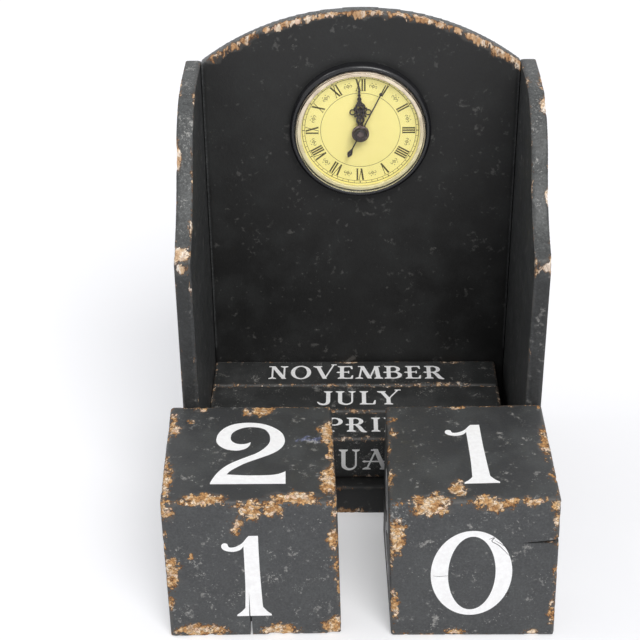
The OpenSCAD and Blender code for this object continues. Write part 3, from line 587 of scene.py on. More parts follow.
BOARD_SPOTS = {
    "left_side_board": [((-79.7, -13.5, 175.5), (2.6, 6, 9)), ((-72.7, -32.5, 150.3), (2.2, 4, 3.5)),
        ((-77, -43.5, 143), (5.5, 5, 3.5)), ((-76, -47.2, 138), (4, 2, 3)), ((-79.7, 15, 194), (1.2, 7, 2))],
    "right_side_board": [((72.6, 20, 195.3), (1.8, 5, 2)), ((79.7, 20, 195), (2.2, 8, 2)),
        ((79.5, 3, 190.5), (3, 6, 4.5)), ((79.7, -23, 160), (1.6, 4, 7)), ((79, -46.5, 139.5), (4, 3, 4)),
        ((72.6, -47, 139), (1.5, 2, 4)), ((72.6, -20, 163), (1, 2, 4))],
    "base_board": [((-20, -36, 15), (8, 2, 1.5)), ((30, -36, 15), (10, 2, 1.2)), ((-8, -36, 1), (12, 2, 2))],
}
BAR_SPOTS = {
    "rear": [((-5, 39.4, 37.8), (9, 2.4, 1.5)), ((45, 39.2, 37.8), (7.5, 2.2, 1.5)),
        ((-59, 37, 37.8), (1, 1.5, 1)), ((-11, 17.4, 37.8), (12, 0.7, 1.2)),
        ((-13.7, 17.5, 37.8), (2.5, 1.4, 1.2)), ((42, 18.2, 37.8), (8, 1.6, 1.2)),
        ((-50.5, 17.5, 37.8), (3.5, 0.7, 1))],
    "middle": [((-3, -5.2, 37.8), (11, 1.5, 1.2)), ((28, 16.8, 37.8), (6, 0.8, 1)),
        ((50, -5.2, 37.8), (9, 1, 1))],
    "front": [((-3, -6.2, 37.8), (11, 1.2, 1.2)), ((-2.5, -28, 37.6), (8, 1.4, 1.2)),
        ((6, -28, 15.6), (9, 1.2, 1.2)), ((40, -28, 37), (9, 1.4, 1.4))],
}


def side_board_rub_and_sheen(places, outward):
    """The narrow front and top faces of a side board are rubbed grey, most of all above the knee, a grey that
    also paints in their sheen; the inner faces are greyed all over as painted light.
    """
    front = np.clip(1.6 * (0.75 - np.abs(outward[:, 0])), 0, 1) * np.clip((places[:, 2] - 128) / 25, 0.12, 1)
    return np.maximum(front, 0.4 * (np.abs(places[:, 0]) < 74))


def back_board_rub_and_sheen(places, outward):
    """Upward faces, the top of the arch most, are rubbed grey, a grey that also paints in the sheen they catch
    from above; and the paint is thin along the back board's joints with the sides.
    """
    joint = 0.8 * (np.abs(places[:, 0]) > 71.4) * (places[:, 1] < FACE_Y + 1) * (places[:, 2] > 45)
    return np.maximum(np.clip(1.6 * (outward[:, 2] - 0.3), 0, 1), joint)


def front_painted_sheen(_, outward):
    """Painted sheen: the fronts of the cubes are painted a lighter grey for the white floor they mirror; the
    other faces are darker.
    """
    return 0.2 * np.clip(-outward[:, 1], 0, 1)


def blue_smudge_and_front_sheen(places, outward):
    """The fronts' painted sheen as above, and a streak of blue-grey paint that someone's thumb left on top of
    the left cube.
    """
    x, y = (LEFT_CUBE @ Vector((26, 9, CUBE)))[:2]
    away = np.hypot((places[:, 0] - x) / 7.5, (places[:, 1] - y) / 2.6)
    grit = np.array([noise.noise(Vector(p) / 1.6) for p in places[away < 1.3]])
    found = np.zeros(len(places))
    found[away < 1.3] = np.clip(1.1 - away[away < 1.3] + 1.3 * grit, 0, 0.9)
    return np.maximum(found * (places[:, 2] > CUBE - 2), front_painted_sheen(places, outward))


def above(level, reach, limit=200):
    """Wear that starts only above a level, and only this far from the middle."""
    return lambda p: reach if p[2] > level and abs(p[0]) < limit else 0


# Each cube's corners (right, rear, top) stand this far from square, in mm
LEFT_BEND = out_of_square(LEFT_CUBE, {(0, 0, 1): (-1.4, 0, 0.9), (1, 0, 1): (0.5, 0, -0.8),
    (0, 0, 0): (-0.7, -1.4, 0), (1, 0, 0): (2.1, -1.6, 0), (0, 1, 1): (-1.2, 0, 0.5),
    (1, 1, 1): (-0.1, 0, -0.6), (0, 1, 0): (-0.7, 0, 0), (1, 1, 0): (0.6, 0, 0)})
RIGHT_BEND = out_of_square(RIGHT_CUBE, {(0, 0, 1): (-0.9, 0, -0.2), (1, 0, 1): (-1.1, 0, 1.0),
    (0, 0, 0): (0.8, -1.0, 0), (1, 0, 0): (0.2, -2.1, 0), (0, 1, 1): (0.8, 0, 0.3), (1, 1, 1): (-0.3, 0, 0.4),
    (0, 1, 0): (0.5, 0, 0), (1, 1, 0): (0, 0, 0)})


def wedge_in(where, mouth_a, mouth_b, end, depth=9.0):
    """A wedge in a cube's front face, from its mouth's two ends to where it closes, as (across, up)."""
    return [tuple(where @ Vector((x, -CUBE / 2 + y, z))) for y in (-1.5, depth) for x,
        z in (mouth_a, mouth_b, end)]


LEFT_CRACK = wedge_in(LEFT_CUBE, (-2.3, -0.5), (-1.3, -0.5), (-1.7, 24))
RIGHT_CRACK = wedge_in(RIGHT_CUBE, (36, 50.3), (36, 48.1), (19.5, 48.6))

for side_name, seed in (("left_side_board", 1), ("right_side_board", 2)):
    weathered(side_name, "case", side_paint, 1.1, above(45, 0.45), 0.4, BOARD_SPOTS[side_name],
        seed, side_board_rub_and_sheen)
weathered("back_board", "case", case_paint, 1.1, above(190, 0.7, 71), 0.4, arch_spots(), 3,
    back_board_rub_and_sheen)
weathered("base_board", "case", case_paint, 1.1, above(-1, 0.7, 71), 0.3,
    BOARD_SPOTS["base_board"], 4)
for seed, bar in enumerate(("front", "middle", "rear"), 5):
    weathered("month_bar_" + bar, bar + "_bar", bar_paint, 0.7, above(0, 0.5), 0.25,
        BAR_SPOTS[bar], seed)
weathered("date_cube_left", "left_cube", cube_paint, 0.75, above(-1, 1.2), 0.6,
    on_cube(LEFT_CUBE, "top", LEFT_TOP) + on_cube(LEFT_CUBE, "front", LEFT_FRONT), 8, blue_smudge_and_front_sheen, LEFT_BEND,
    [LEFT_CRACK])
weathered("date_cube_right", "right_cube", cube_paint, 0.75, above(-1, 0.8), 0.6,
    on_cube(RIGHT_CUBE, "top", RIGHT_TOP) + on_cube(RIGHT_CUBE, "front", RIGHT_FRONT), 9, front_painted_sheen,
    RIGHT_BEND, [RIGHT_CRACK])

# ---- Shapes of letters and numerals, drawn from strokes ----


def smooth_outline(points, steps=5):
    """A closed outline through the points; one with a third number is a sharp corner."""
    count = len(points)
    line = []
    for i in range(count):
        p0, p1, p2, p3 = (points[(i + k) % count] for k in (-1, 0, 1, 2))
        a, b = np.array(p1[:2], float), np.array(p2[:2], float)
        out = np.zeros(2) if len(p1) > 2 else (b - np.array(p0[:2])) / 6
        back = np.zeros(2) if len(p2) > 2 else (np.array(p3[:2]) - a) / 6
        for k in range(steps):
            t = k / steps
            line.append(a * (1 - t) ** 3 + 3 * (a + out) * t * (1 - t) ** 2 + 3 * (b - back) * t * t * (1 - t)
                + b * t**3)
    return line


def ribbon(points, widths, steps=6):
    """A stroke along the points whose width changes from point to point."""
    middle, wide = [], []
    for i in range(len(points) - 1):
        p0, p1, p2, p3 = (np.array(points[min(max(i + k, 0), len(points) - 1)], float) for k in (-1, 0, 1, 2))
        for k in range(steps + (i == len(points) - 2)):
            t = k / steps
            out, back = (p2 - p0) / 6, (p3 - p1) / 6
            middle.append(p1 * (1 - t) ** 3 + 3 * (p1 + out) * t * (1 - t) ** 2
                + 3 * (p2 - back) * t * t * (1 - t) + p2 * t**3)
            wide.append(widths[i] * (1 - t) + widths[i + 1] * t)
    middle = np.array(middle)
    along = np.gradient(middle, axis=0)
    across = np.stack([-along[:, 1], along[:, 0]], 1) / np.linalg.norm(along, axis=1)[:, None]
    half = np.array(wide)[:, None] / 2
    return list(middle + across * half) + list((middle - across * half)[::-1])


def bow(cx, cy, rx, ry, low, high, thick=0.155, thin=0.055, steps=20):
    """Part of a bowl between two angles: thick at its sides, thin at top and bottom."""
    turns = np.radians(np.linspace(low, high, steps + 1))
    outer = [(cx + rx * math.cos(a), cy + ry * math.sin(a)) for a in turns]
    inner = [(cx + (rx - thick) * math.cos(a), cy + (ry - thin) * math.sin(a)) for a in turns]
    return outer + inner[::-1]


def leg(x0, y0, x1, y1, wide, wide_end=None):
    """A straight stroke with level ends; wide is measured across."""
    end = wide if wide_end is None else wide_end
    return [(x0 - wide / 2, y0), (x0 + wide / 2, y0), (x1 + end / 2, y1), (x1 - end / 2, y1)]


def arm(x0, x1, y, thick=0.055):
    return [(x0, y - thick / 2), (x1, y - thick / 2), (x1, y + thick / 2), (x0, y + thick / 2)]


def foot(x, y, wide=0.34, stem=0.15):
    """A bracketed serif across the end of a stem; it hangs down from y = 1 and stands up from y = 0."""
    s = 1 if y < 0.5 else -1
    w, t = wide / 2, stem / 2
    return [(x - w, y), (x + w, y), (x + w, y + 0.035 * s), (x + t, y + 0.11 * s), (x - t, y + 0.11 * s),
        (x - w, y + 0.035 * s)]


def beak(x, y, rise):
    """The wedge at an arm's end."""
    return [(x - 0.1, y), (x, y), (x + 0.015, y + rise), (x - 0.02, y + rise)]


def stem(x, thick=0.15, low=0.0, high=1.0):
    made = [leg(x, low, x, high, thick)]
    if low == 0:
        made.append(foot(x, 0, thick + 0.19, thick))
    if high == 1:
        made.append(foot(x, 1, thick + 0.19, thick))
    return made


def tick(x, y=0.5):
    """The small spur that crosses the left of a stem."""
    return [(x - 0.17, y), (x - 0.1, y + 0.045), (x, y + 0.02), (x, y - 0.02), (x - 0.1, y - 0.045)]


def full_bow(cx, cy, rx, ry, thick=0.155, thin=0.055):
    return [bow(cx, cy, rx, ry, -90, 90, thick, thin), bow(cx, cy, rx, ry, 90, 270, thick, thin)]


LETTERS = {
    " ": (0.05, []),
    "A": (0.95, [leg(0.12, 0, 0.5, 1, 0.06), leg(0.84, 0, 0.47, 1.02, 0.17), arm(0.06, 0.98, 0.4, 0.045),
        tick(0.12, 0.4), foot(0.12, 0, 0.3, 0.06), foot(0.84, 0, 0.36, 0.17), arm(0.3, 0.5, 0.975, 0.05)]),
    "B": (0.74, stem(0.18) + [tick(0.12), arm(0.1, 0.4, 0.972), arm(0.1, 0.42, 0.53), arm(0.1, 0.4, 0.028),
        bow(0.38, 0.755, 0.28, 0.245, -90, 90, 0.14), bow(0.39, 0.275, 0.34, 0.275, -90, 90)]),
    "C": (0.78, [bow(0.42, 0.5, 0.4, 0.52, 48, 312), beak(0.72, 0.88, -0.22), beak(0.72, 0.13, 0.2)]),
    "D": (0.82, stem(0.18) + [arm(0.1, 0.38, 0.972), arm(0.1, 0.38, 0.028),
        bow(0.36, 0.5, 0.44, 0.5, -90, 90)]),
    "E": (0.66, stem(0.18) + [tick(0.12), arm(0.1, 0.6, 0.972), arm(0.1, 0.46, 0.52), arm(0.1, 0.62, 0.028),
        beak(0.61, 0.97, -0.2), beak(0.63, 0.03, 0.22), leg(0.46, 0.42, 0.46, 0.62, 0.035)]),
    "F": (0.62, stem(0.18) + [tick(0.12), arm(0.1, 0.6, 0.972), arm(0.1, 0.46, 0.52), beak(0.61, 0.97, -0.2),
        leg(0.46, 0.42, 0.46, 0.62, 0.035)]),
    "G": (0.82, [bow(0.42, 0.5, 0.4, 0.52, 48, 312), beak(0.72, 0.88, -0.22), leg(0.7, 0.02, 0.7, 0.4, 0.13),
        foot(0.7, 0.4, 0.3, 0.13)]),
    "H": (0.88, stem(0.18) + stem(0.7) + [arm(0.2, 0.7, 0.52)]),
    "I": (0.36, stem(0.18)),
    "J": (0.56, [leg(0.4, 0.25, 0.4, 1, 0.15), foot(0.4, 1, 0.34),
        ribbon([(0.4, 0.3), (0.37, 0.1), (0.25, 0.0), (0.08, 0.03), (-0.04, 0.18)],
        [0.15, 0.14, 0.1, 0.1, 0.02])]),
    "L": (0.64, stem(0.18) + [arm(0.1, 0.62, 0.028), beak(0.64, 0.03, 0.27)]),
    "M": (1.02, [leg(0.1, 0, 0.22, 1, 0.055), leg(0.54, 0.02, 0.22, 1, 0.16), leg(0.54, 0.02, 0.8, 1, 0.055),
        leg(0.92, 0, 0.82, 1, 0.16), foot(0.1, 0, 0.3, 0.055), foot(0.92, 0, 0.34, 0.16),
        arm(0.06, 0.26, 0.978, 0.045), arm(0.78, 0.98, 0.978, 0.045)]),
    "N": (0.78, [leg(0.14, 0, 0.14, 1, 0.055), leg(0.64, 0, 0.16, 1, 0.17), leg(0.64, 0, 0.64, 1, 0.055),
        foot(0.14, 0, 0.3, 0.055), foot(0.64, 1, 0.3, 0.055), arm(0.0, 0.2, 0.978, 0.045)]),
    "O": (0.86, full_bow(0.42, 0.5, 0.42, 0.53)),
    "P": (0.7, stem(0.18) + [tick(0.12), arm(0.1, 0.38, 0.972), arm(0.1, 0.38, 0.47),
        bow(0.36, 0.72, 0.32, 0.275, -90, 90)]),
    "R": (0.84, stem(0.18) + [tick(0.12), arm(0.1, 0.38, 0.972), arm(0.1, 0.38, 0.5),
        bow(0.36, 0.735, 0.3, 0.26, -90, 90), ribbon([(0.38, 0.5), (0.52, 0.3), (0.64, 0.05), (0.8, -0.04)],
        [0.1, 0.15, 0.16, 0.03])]),
    "S": (0.64, [ribbon([(0.54, 0.78), (0.44, 0.96), (0.24, 0.98), (0.12, 0.8), (0.2, 0.62), (0.42, 0.44),
        (0.52, 0.22), (0.4, 0.03), (0.2, 0.02), (0.08, 0.22)], [0.02, 0.06, 0.07, 0.13, 0.15, 0.16, 0.14,
        0.07, 0.06, 0.02]), beak(0.57, 0.97, -0.24), beak(0.1, 0.03, 0.22)]),
    "T": (0.8, [leg(0.4, 0, 0.4, 1, 0.15), foot(0.4, 0), arm(0.04, 0.76, 0.972), beak(0.78, 0.97, -0.22),
        leg(0.04, 0.76, 0.06, 0.98, 0.035)]),
    "U": (0.84, [leg(0.18, 0.3, 0.18, 1, 0.15), leg(0.68, 0.3, 0.68, 1, 0.055), foot(0.18, 1),
        foot(0.68, 1, 0.28, 0.055), ribbon([(0.18, 0.34), (0.2, 0.14), (0.36, 0.01), (0.54, 0.03),
        (0.66, 0.16), (0.68, 0.34)], [0.15, 0.15, 0.09, 0.07, 0.06, 0.055])]),
    "V": (0.82, [leg(0.42, 0, 0.12, 1, 0.16), leg(0.42, 0, 0.8, 1.12, 0.055), foot(0.12, 1, 0.36, 0.16),
        arm(0.7, 0.92, 1.12, 0.045)]),
    "Y": (0.84, [leg(0.4, 0, 0.4, 0.46, 0.15), foot(0.4, 0), leg(0.4, 0.42, 0.12, 1, 0.16),
        leg(0.41, 0.42, 0.8, 1.1, 0.055), foot(0.12, 1, 0.34, 0.16), arm(0.68, 0.92, 1.1, 0.045)]),
}

# Numerals in mm on a 70 mm face: across from its middle, and up from its lower edge
ZERO = [bow(-1.2, 33.6, 16.9, 22.0, -90, 90, 6.9, 2.9, 40), bow(-1.2, 33.6, 16.9, 22.0, 90, 270, 7.2, 2.9,
    40)]
ONE = [smooth_outline([(-1.0, 53.1, 1), (2.9, 53.1, 1), (3.1, 36.7), (3.8, 18.3), (4.1, 15.6, 1), (5.8, 13.3),
    (7.5, 11.8, 1), (7.5, 11.0, 1), (-7.1, 11.0, 1), (-7.0, 11.8, 1), (-5.2, 13.3), (-3.5, 15.4, 1),
    (-3.1, 28.3), (-3.2, 47.9, 1), (-4.6, 46.1), (-7.1, 45.2), (-9.6, 45.4), (-11.3, 46.1), (-12.3, 47.4),
    (-12.1, 49.0), (-11.0, 49.6), (-9.8, 49.1), (-9.4, 47.8), (-8.3, 47.3), (-6.2, 47.8), (-3.8, 49.4),
    (-1.9, 52.0)])]
TWO = [smooth_outline([(-0.25, 42.1, 1), (-0.7, 39.8), (-2.1, 37.7), (-4.6, 36.3), (-7.1, 36.1),
    (-10.4, 36.9), (-13.2, 39.2), (-14.8, 42.1), (-15.0, 45.0), (-14.2, 48.8), (-11.7, 52.9), (-7.5, 55.8),
    (-1.7, 56.8), (4.2, 56.0), (9.2, 53.3), (12.9, 49.2), (14.3, 44.2), (13.8, 40.0), (11.7, 36.3),
    (8.3, 33.3), (4.2, 30.8), (-1.7, 27.3), (-5.8, 24.0), (-8.5, 21.3), (-9.8, 19.0, 1), (-1.7, 18.3),
    (6.7, 18.4), (10.8, 19.0), (13.3, 20.2), (14.6, 21.2, 1), (14.6, 12.5, 1), (-16.5, 12.3, 1),
    (-16.2, 14.2), (-14.2, 19.2), (-11.3, 23.8), (-7.5, 27.5), (-1.7, 31.4), (2.5, 34.2), (5.8, 37.9),
    (7.7, 41.7), (8.0, 45.0), (7.5, 48.3), (5.8, 51.5), (2.9, 53.1), (-0.8, 53.5), (-4.6, 52.5), (-7.9, 49.6),
    (-8.9, 46.3), (-8.5, 43.3), (-6.7, 41.3), (-4.6, 40.7), (-2.5, 40.9), (-1.2, 41.5)])]
THREE = [ribbon([(-11.5, 47), (-9, 53), (-1, 55.6), (7.5, 52), (8.5, 45), (4, 38.5), (-3, 36.8)],
    [4.5, 3, 2.6, 6, 7, 4, 1.5]), ribbon([(-3, 36.8), (6, 35), (11, 28), (9.5, 18), (0, 12.4), (-9, 14.5),
    (-12.5, 20.5)], [1.5, 4, 7.5, 7, 2.8, 3, 4.5])]
FOUR = [leg(5.5, 12, 5.5, 56, 6.5), leg(4.5, 56, -14.5, 24, 3.2, 3.2),
    [(-16.5, 22), (15, 22), (15, 25), (-16.5, 25)], [(-1.5, 12), (12.5, 12), (12.5, 13), (8.7, 15), (2.3, 15),
    (-1.5, 13)]]
FIVE = [[(-9.5, 55.5), (11, 55.5), (12.5, 58), (12, 49.5), (-9.5, 49.5)], leg(-9.5, 34.5, -8, 55, 3.2, 3.2),
    ribbon([(-9, 35), (-3, 39), (6, 37.5), (11.5, 28), (9, 17), (0, 12.4), (-9, 14.2), (-13, 20)],
    [2, 3, 5.5, 7.5, 6.5, 2.8, 3, 4.5])]
SIX = [ribbon([(10, 51), (4, 55.4), (-5, 52), (-11.5, 40), (-12, 27)], [4, 2.6, 4, 6.5, 7])] + [
    bow(0.5, 26, 13.8, 14.2, -90, 90, 6.8, 2.6, 30), bow(0.5, 26, 13.8, 14.2, 90, 270, 6.8, 2.6, 30)]
SEVEN = [[(-13, 55.5), (13.5, 55.5), (13.5, 51.5), (12.5, 49.5), (-11, 49.5), (-13, 45)],
    ribbon([(12.2, 50.5), (5, 36), (-1.5, 24), (-3, 12)], [2.6, 4.5, 6.5, 8])]
EIGHT = full_bow(0, 45.6, 11.5, 10.4, 5.6, 2.6) + full_bow(0, 24.4, 14, 12.4, 6.6, 2.7)
NUMERALS = {"0": ZERO, "1": ONE, "2": TWO, "3": THREE, "4": FOUR, "5": FIVE, "6": SIX, "7": SEVEN, "8": EIGHT}


def swollen(flat, by):
    """A closed outline, counter-clockwise, moved outwards by this much."""
    before, after = flat - np.roll(flat, 1, 0), np.roll(flat, -1, 0) - flat
    before, after = (np.stack([v[:, 1], -v[:, 0]], 1) / (np.linalg.norm(v, axis=1)[:, None] + 1e-9)
        for v in (before, after))
    lean = before + after
    return flat + by * lean / np.maximum((lean * before).sum(1), 0.7)[:, None]


def stroke_plates(name, strokes, body, material, film, sunk=0.03, step=0.003, bend=None, spread=0.0,
        replaced=()):
    """Turns flat strokes into paint films.

    strokes are (outline, place), and place maps (across, up, out) in mm to the part's own frame. bend lifts the
    strokes with a face that has moved out of square; spread makes each stroke fatter all round. Each stroke is
    a flat face at its own height, so that none lies in another's plane, thickened by Solidify."""
    points, faces = [], []
    for number, (outline, place) in enumerate(strokes):
        flat = np.array([tuple(p) for p in outline])
        ahead_xy = np.roll(flat, -1, 0)
        if (flat[:, 0] * ahead_xy[:, 1] - ahead_xy[:, 0] * flat[:, 1]).sum() < 0:
            flat = flat[::-1]
        if spread:
            flat = swollen(flat, spread)
        ring = np.array([tuple(place @ Vector((p[0], p[1], film + step * (number % 12)))) for p in flat])
        if bend:
            out = np.array(place.col[2][:3])
            ring += ((bend(ring) - ring) @ out)[:, None] * out
        faces.append(list(range(len(points), len(points) + len(flat))))
        points += [tuple(p * MM) for p in ring]
    mesh = bpy.data.meshes.new(name)
    mesh.from_pydata(points, [], faces)
    mesh.update()
    piece = bpy.data.objects.new(name, mesh)
    scene.collection.objects.link(piece)
    only(piece)
    thicken = piece.modifiers.new("thick", "SOLIDIFY")
    thicken.thickness = (film + sunk + step * 11) * MM
    thicken.offset = -1
    bpy.ops.object.modifier_apply(modifier="thick")
    return finish_piece(piece, name, body, material, replaced)


def basis(x, y, at):
    """A place whose first two axes are x and y and whose third points out of the face."""
    x, y = Vector(x), Vector(y)
    return Matrix.Translation(at) @ Matrix((x, y, x.cross(y))).transposed().to_4x4()


# Faces of a cube about its upright axis, each with its origin at the middle of the lower edge
HALF = CUBE / 2
CUBE_FACES = {
    "front": basis((1, 0, 0), (0, 0, 1), (0, -HALF, 0)),
    "back": basis((-1, 0, 0), (0, 0, 1), (0, HALF, 0)),
    "left": basis((0, -1, 0), (0, 0, 1), (-HALF, 0, 0)),
    "right": basis((0, 1, 0), (0, 0, 1), (HALF, 0, 0)),
    "top": basis((1, 0, 0), (0, 1, 0), (0, -HALF, CUBE)),
    "bottom": basis((1, 0, 0), (0, -1, 0), (0, HALF, 0.04)),
}
RIGHT_TOP_SHIFT = Matrix.Translation((2.8, 1.1, 0))  # its 1 was brushed off centre
LEFT_NUMERALS = {"front": "1", "top": "2", "back": "0", "left": "5", "right": "3", "bottom": "4"}
RIGHT_NUMERALS = {"front": "0", "top": "1", "back": "6", "left": "2", "right": "7", "bottom": "8"}
for cube_side, where, numerals, bend, crack in (("left", LEFT_CUBE, LEFT_NUMERALS, LEFT_BEND, LEFT_CRACK),
        ("right", RIGHT_CUBE, RIGHT_NUMERALS, RIGHT_BEND, None)):
    drawn = {"front": [], "other": []}
    for face, numeral in numerals.items():
        shift = RIGHT_TOP_SHIFT if (cube_side, face) == ("right", "top") else Matrix()
        group = drawn["front" if face == "front" else "other"]
        group += [(outline, where @ CUBE_FACES[face] @ shift) for outline in NUMERALS[numeral]]
    for which, strokes in drawn.items():
        numbers = stroke_plates(which + "_numerals_" + cube_side + "_cube", strokes, cube_side + "_cube",
            numeral_white, 0.05, bend=bend)
        if crack and which == "front":
            split(numbers, crack)
# hair-thin marks where the white on the right cube's 0 has been scratched through
scratches = [([(5.2, 51.2), (7.5, 52.0), (6.6, 50.2), (9.6, 48.0), (14.4, 42.4)], [0.1, 0.35, 0.3, 0.3, 0.1]),
    ([(8, 50.6), (12, 47.6), (14.6, 45)], [0.1, 0.25, 0.1]), ([(13.4, 22.6), (14.6, 23.4), (14.2, 21.6)],
    [0.3, 0.6, 0.2]), ([(-17, 32.5), (-14.5, 32.2), (-11, 32.6)], [0.1, 0.2, 0.1])]
stroke_plates("scratches_right_cube", [(ribbon(*line), RIGHT_CUBE @ CUBE_FACES["front"])
    for line in scratches], "right_cube", STUFF["dark_hands"], 0.075, bend=RIGHT_BEND)

CAP = 11.3  # height of a month's capitals
WIDE = 1.035  # and how far they are drawn out sideways
GAP = 0.15  # between letters, in capitals' heights
BAR_FACES = {
    "front": basis((1, 0, 0), (0, 0, 1), (0, -BAR_W / 2, 0)),
    "top": basis((1, 0, 0), (0, 1, 0), (0, 0, BAR_W / 2)),
    "rear": basis((1, 0, 0), (0, 0, -1), (0, BAR_W / 2, 0)),
    "bottom": basis((1, 0, 0), (0, -1, 0), (0, 0, -BAR_W / 2)),
}
MONTHS = {
    "rear": {"front": "OCTOBER", "top": "NOVEMBER", "rear": "DECEMBER", "bottom": "SEPTEMBER"},
    "middle": {"front": "JUNE", "top": "JULY", "rear": "AUGUST", "bottom": "MAY"},
    "front": {"front": "JAN UARY", "top": "APRIL", "rear": "MARCH", "bottom": "FEBRUARY"},
}
# Brushed by hand, so some words stand off the middle
MONTH_SHIFTS = {"NOVEMBER": (0.8, 0.3), "JULY": (1.6, 0.3), "APRIL": (-3.2, 0.3), "JAN UARY": (-2.3, -0.5)}
for bar, words in MONTHS.items():
    strokes = []
    for face, word in words.items():
        width = sum(LETTERS[letter][0] + GAP for letter in word) - GAP
        across, up = MONTH_SHIFTS.get(word, (0, 0))
        pen = across - 2.3 - width * CAP * WIDE / 2
        for letter in word:
            place = Matrix.Translation((0, BAR_Y[bar],
                BAR_MIDDLE_Z)) @ BAR_FACES[face] @ Matrix.Translation((pen, up - CAP / 2, 0))
            strokes += [([(p[0] * CAP * WIDE, p[1] * CAP) for p in outline], place)
                for outline in LETTERS[letter][1]]
            pen += (LETTERS[letter][0] + GAP) * CAP * WIDE
    stroke_plates("months_" + bar + "_bar", strokes, bar + "_bar", month_white, 0.04, step=0.002,
        spread=0.11)

# ---- The clock ----

CLOCK = basis((1, 0, 0), (0, 0, 1), (0, DIAL_Y, CLOCK_Z))  # x right, y up, z towards the viewer


def turned(name, section, body, material, replaced=(), steps=160, soft=30):
    """A part turned on the clock's axis from a closed section of (radius, height) points."""
    bpy.ops.mesh.primitive_circle_add(vertices=len(section), radius=MM)
    piece = bpy.context.object
    for vertex, (r, z) in zip(piece.data.vertices, section):
        vertex.co = (CLOCK @ Vector((r, 0, z))) * MM
    bpy.ops.object.mode_set(mode="EDIT")
    bpy.ops.mesh.select_all(action="SELECT")
    bpy.ops.mesh.spin(steps=steps, angle=2 * math.pi, center=(0, DIAL_Y * MM, CLOCK_Z * MM), axis=(0, 1, 0))
    bpy.ops.mesh.select_all(action="SELECT")
    bpy.ops.mesh.remove_doubles(threshold=0.000002)
    bpy.ops.mesh.dissolve_degenerate(threshold=0.000002)
    bpy.ops.mesh.normals_make_consistent(inside=False)
    bpy.ops.object.mode_set(mode="OBJECT")
    bpy.ops.object.shade_smooth_by_angle(angle=math.radians(soft))
    return finish_piece(piece, name, body, material, replaced)


def arc(cx, cy, r, low, high, steps=10):
    return [(cx + r * math.cos(a), cy + r * math.sin(a)) for a in np.radians(np.linspace(low, high,
        steps + 1))]


turned("bezel", [(30.25, -2.48), (32.45, -2.48), *arc(31.1, 1.9, 1.4, 0, 155, 22), (29.75, 2.42),
    (30.25, 2.42)], "clock", STUFF["black_gloss_plastic"], ("clock_bezel",))
turned("bright_ring", [(28.0, 0.02), (29.72, 0.02), (29.72, 1.46), (29.15, 1.46), (29.15, 2.6), (28.9, 2.85),
    (27.6, 3.05), (27.3, 2.9), (27.5, 1.5)], "clock", STUFF["champagne_ring"],
    ("dial_ring",))
LENS_ARC = 216.2


def sunk_from(crown, r):
    return crown - LENS_ARC + math.sqrt(LENS_ARC**2 - r * r)


inner_dome = [(r, sunk_from(6.0, r)) for r in np.linspace(0, 28.9, 14)]
outer_dome = [(r, sunk_from(6.7, r)) for r in np.linspace(29.2, 0, 14)]
turned("lens", [*inner_dome, *arc(28.95, 3.6, 0.25, 60, 0, 4), (29.2, 1.55), (30.15, 1.55), (30.15, 2.36),
    (29.7, 2.36), *arc(29.2, 4.0, 0.5, 0, 80, 6), *outer_dome], "clock", STUFF["clear_lens"],
    ("clock_lens",), 240)
# the cap wears a lighter copy of the hands' brown: painted light
turned("hub_dome", [(0, 3.42), (3.98, 3.42), (3.98, 4.3), *arc(3.78, 4.35, 0.2, 0, 90, 4), (3.5, 4.6),
    (1.3, 5.68), (0.7, 5.84), (0, 5.87)], "second_work", STUFF["lit_cap_lacquer"])
turned("dial", [(1.7, -0.48), (27.95, -0.48), (27.95, 0.0), (1.7, 0.0)], "clock",
    STUFF["gold_dial"], ("dial_plate",))

# Hour and minute hands, stamped as openwork: beads and hearts pierced on either side of a spine
HOUR_Z, MINUTE_Z = 1.2, 2.25  # undersides above the dial
HAND_T = 0.3


def pierced(x, y, r, rim, steps=14):
    """A bead with a hole through it, in two halves."""
    return [arc(x, y, r, low, low + 180, steps) + arc(x, y, r - rim, low + 180, low, steps)
        for low in (0, 180)]


def ring_line(r, wide):
    """A circle about the clock's axis, drawn with a line this wide."""
    return pierced(0, 0, r + wide / 2, wide, 60)


def discs(*rows):
    return [arc(x, y, r, 0, 330, 11) for x, y, r in rows]


hour_strokes = [leg(0, 1.2, 0, 4.4, 2.3, 2.6), leg(0, 4, 0, 12, 0.6), leg(0, 12.3, 0, 16.2, 2.6, 0.2)]
for y, r, rim in ((5.8, 1.95, 0.75), (8.8, 2.15, 0.8), (11.9, 2.3, 0.85)):
    hour_strokes += pierced(0, y, r, rim)
hour_strokes += [*discs((0, 7.3, 1.15), (0, 10.4, 1.3)), arm(-2.4, 2.4, 9.4, 0.5), *ring_line(1.6, 1.1)]
minute_strokes = [leg(0, 0.9, 0, 4.4, 1.8, 2.1), leg(0, 4, 0, 14, 0.5)]
for y, r, rim in ((5.8, 1.85, 0.75), (8.6, 1.75, 0.7), (11.9, 2.15, 0.8)):
    minute_strokes += pierced(0, y, r, rim)
minute_strokes += discs((0, 7.2, 0.95), (0, 10.3, 1.05), (0, 14.2, 1.35), (0, 16.3, 1.05), (0, 18.2, 0.75),
    (0, 19.9, 0.62), (0, 21.4, 0.55))
minute_strokes += [leg(0, 13, 0, 18.5, 1.6, 0.9), leg(0, 18.4, 0, 25, 0.9, 0.16), *ring_line(1.3, 0.9)]
for sign in (-1, 1):
    hour_strokes += pierced(sign * 3.55, 9.5, 1.5, 0.55) + discs((sign * 2.6, 11.3, 0.55),
        (sign * 2.35, 7.5, 0.5))
    minute_strokes += discs((sign * 1.9, 10.6, 0.5), (sign * 1.3, 13.4, 0.55))
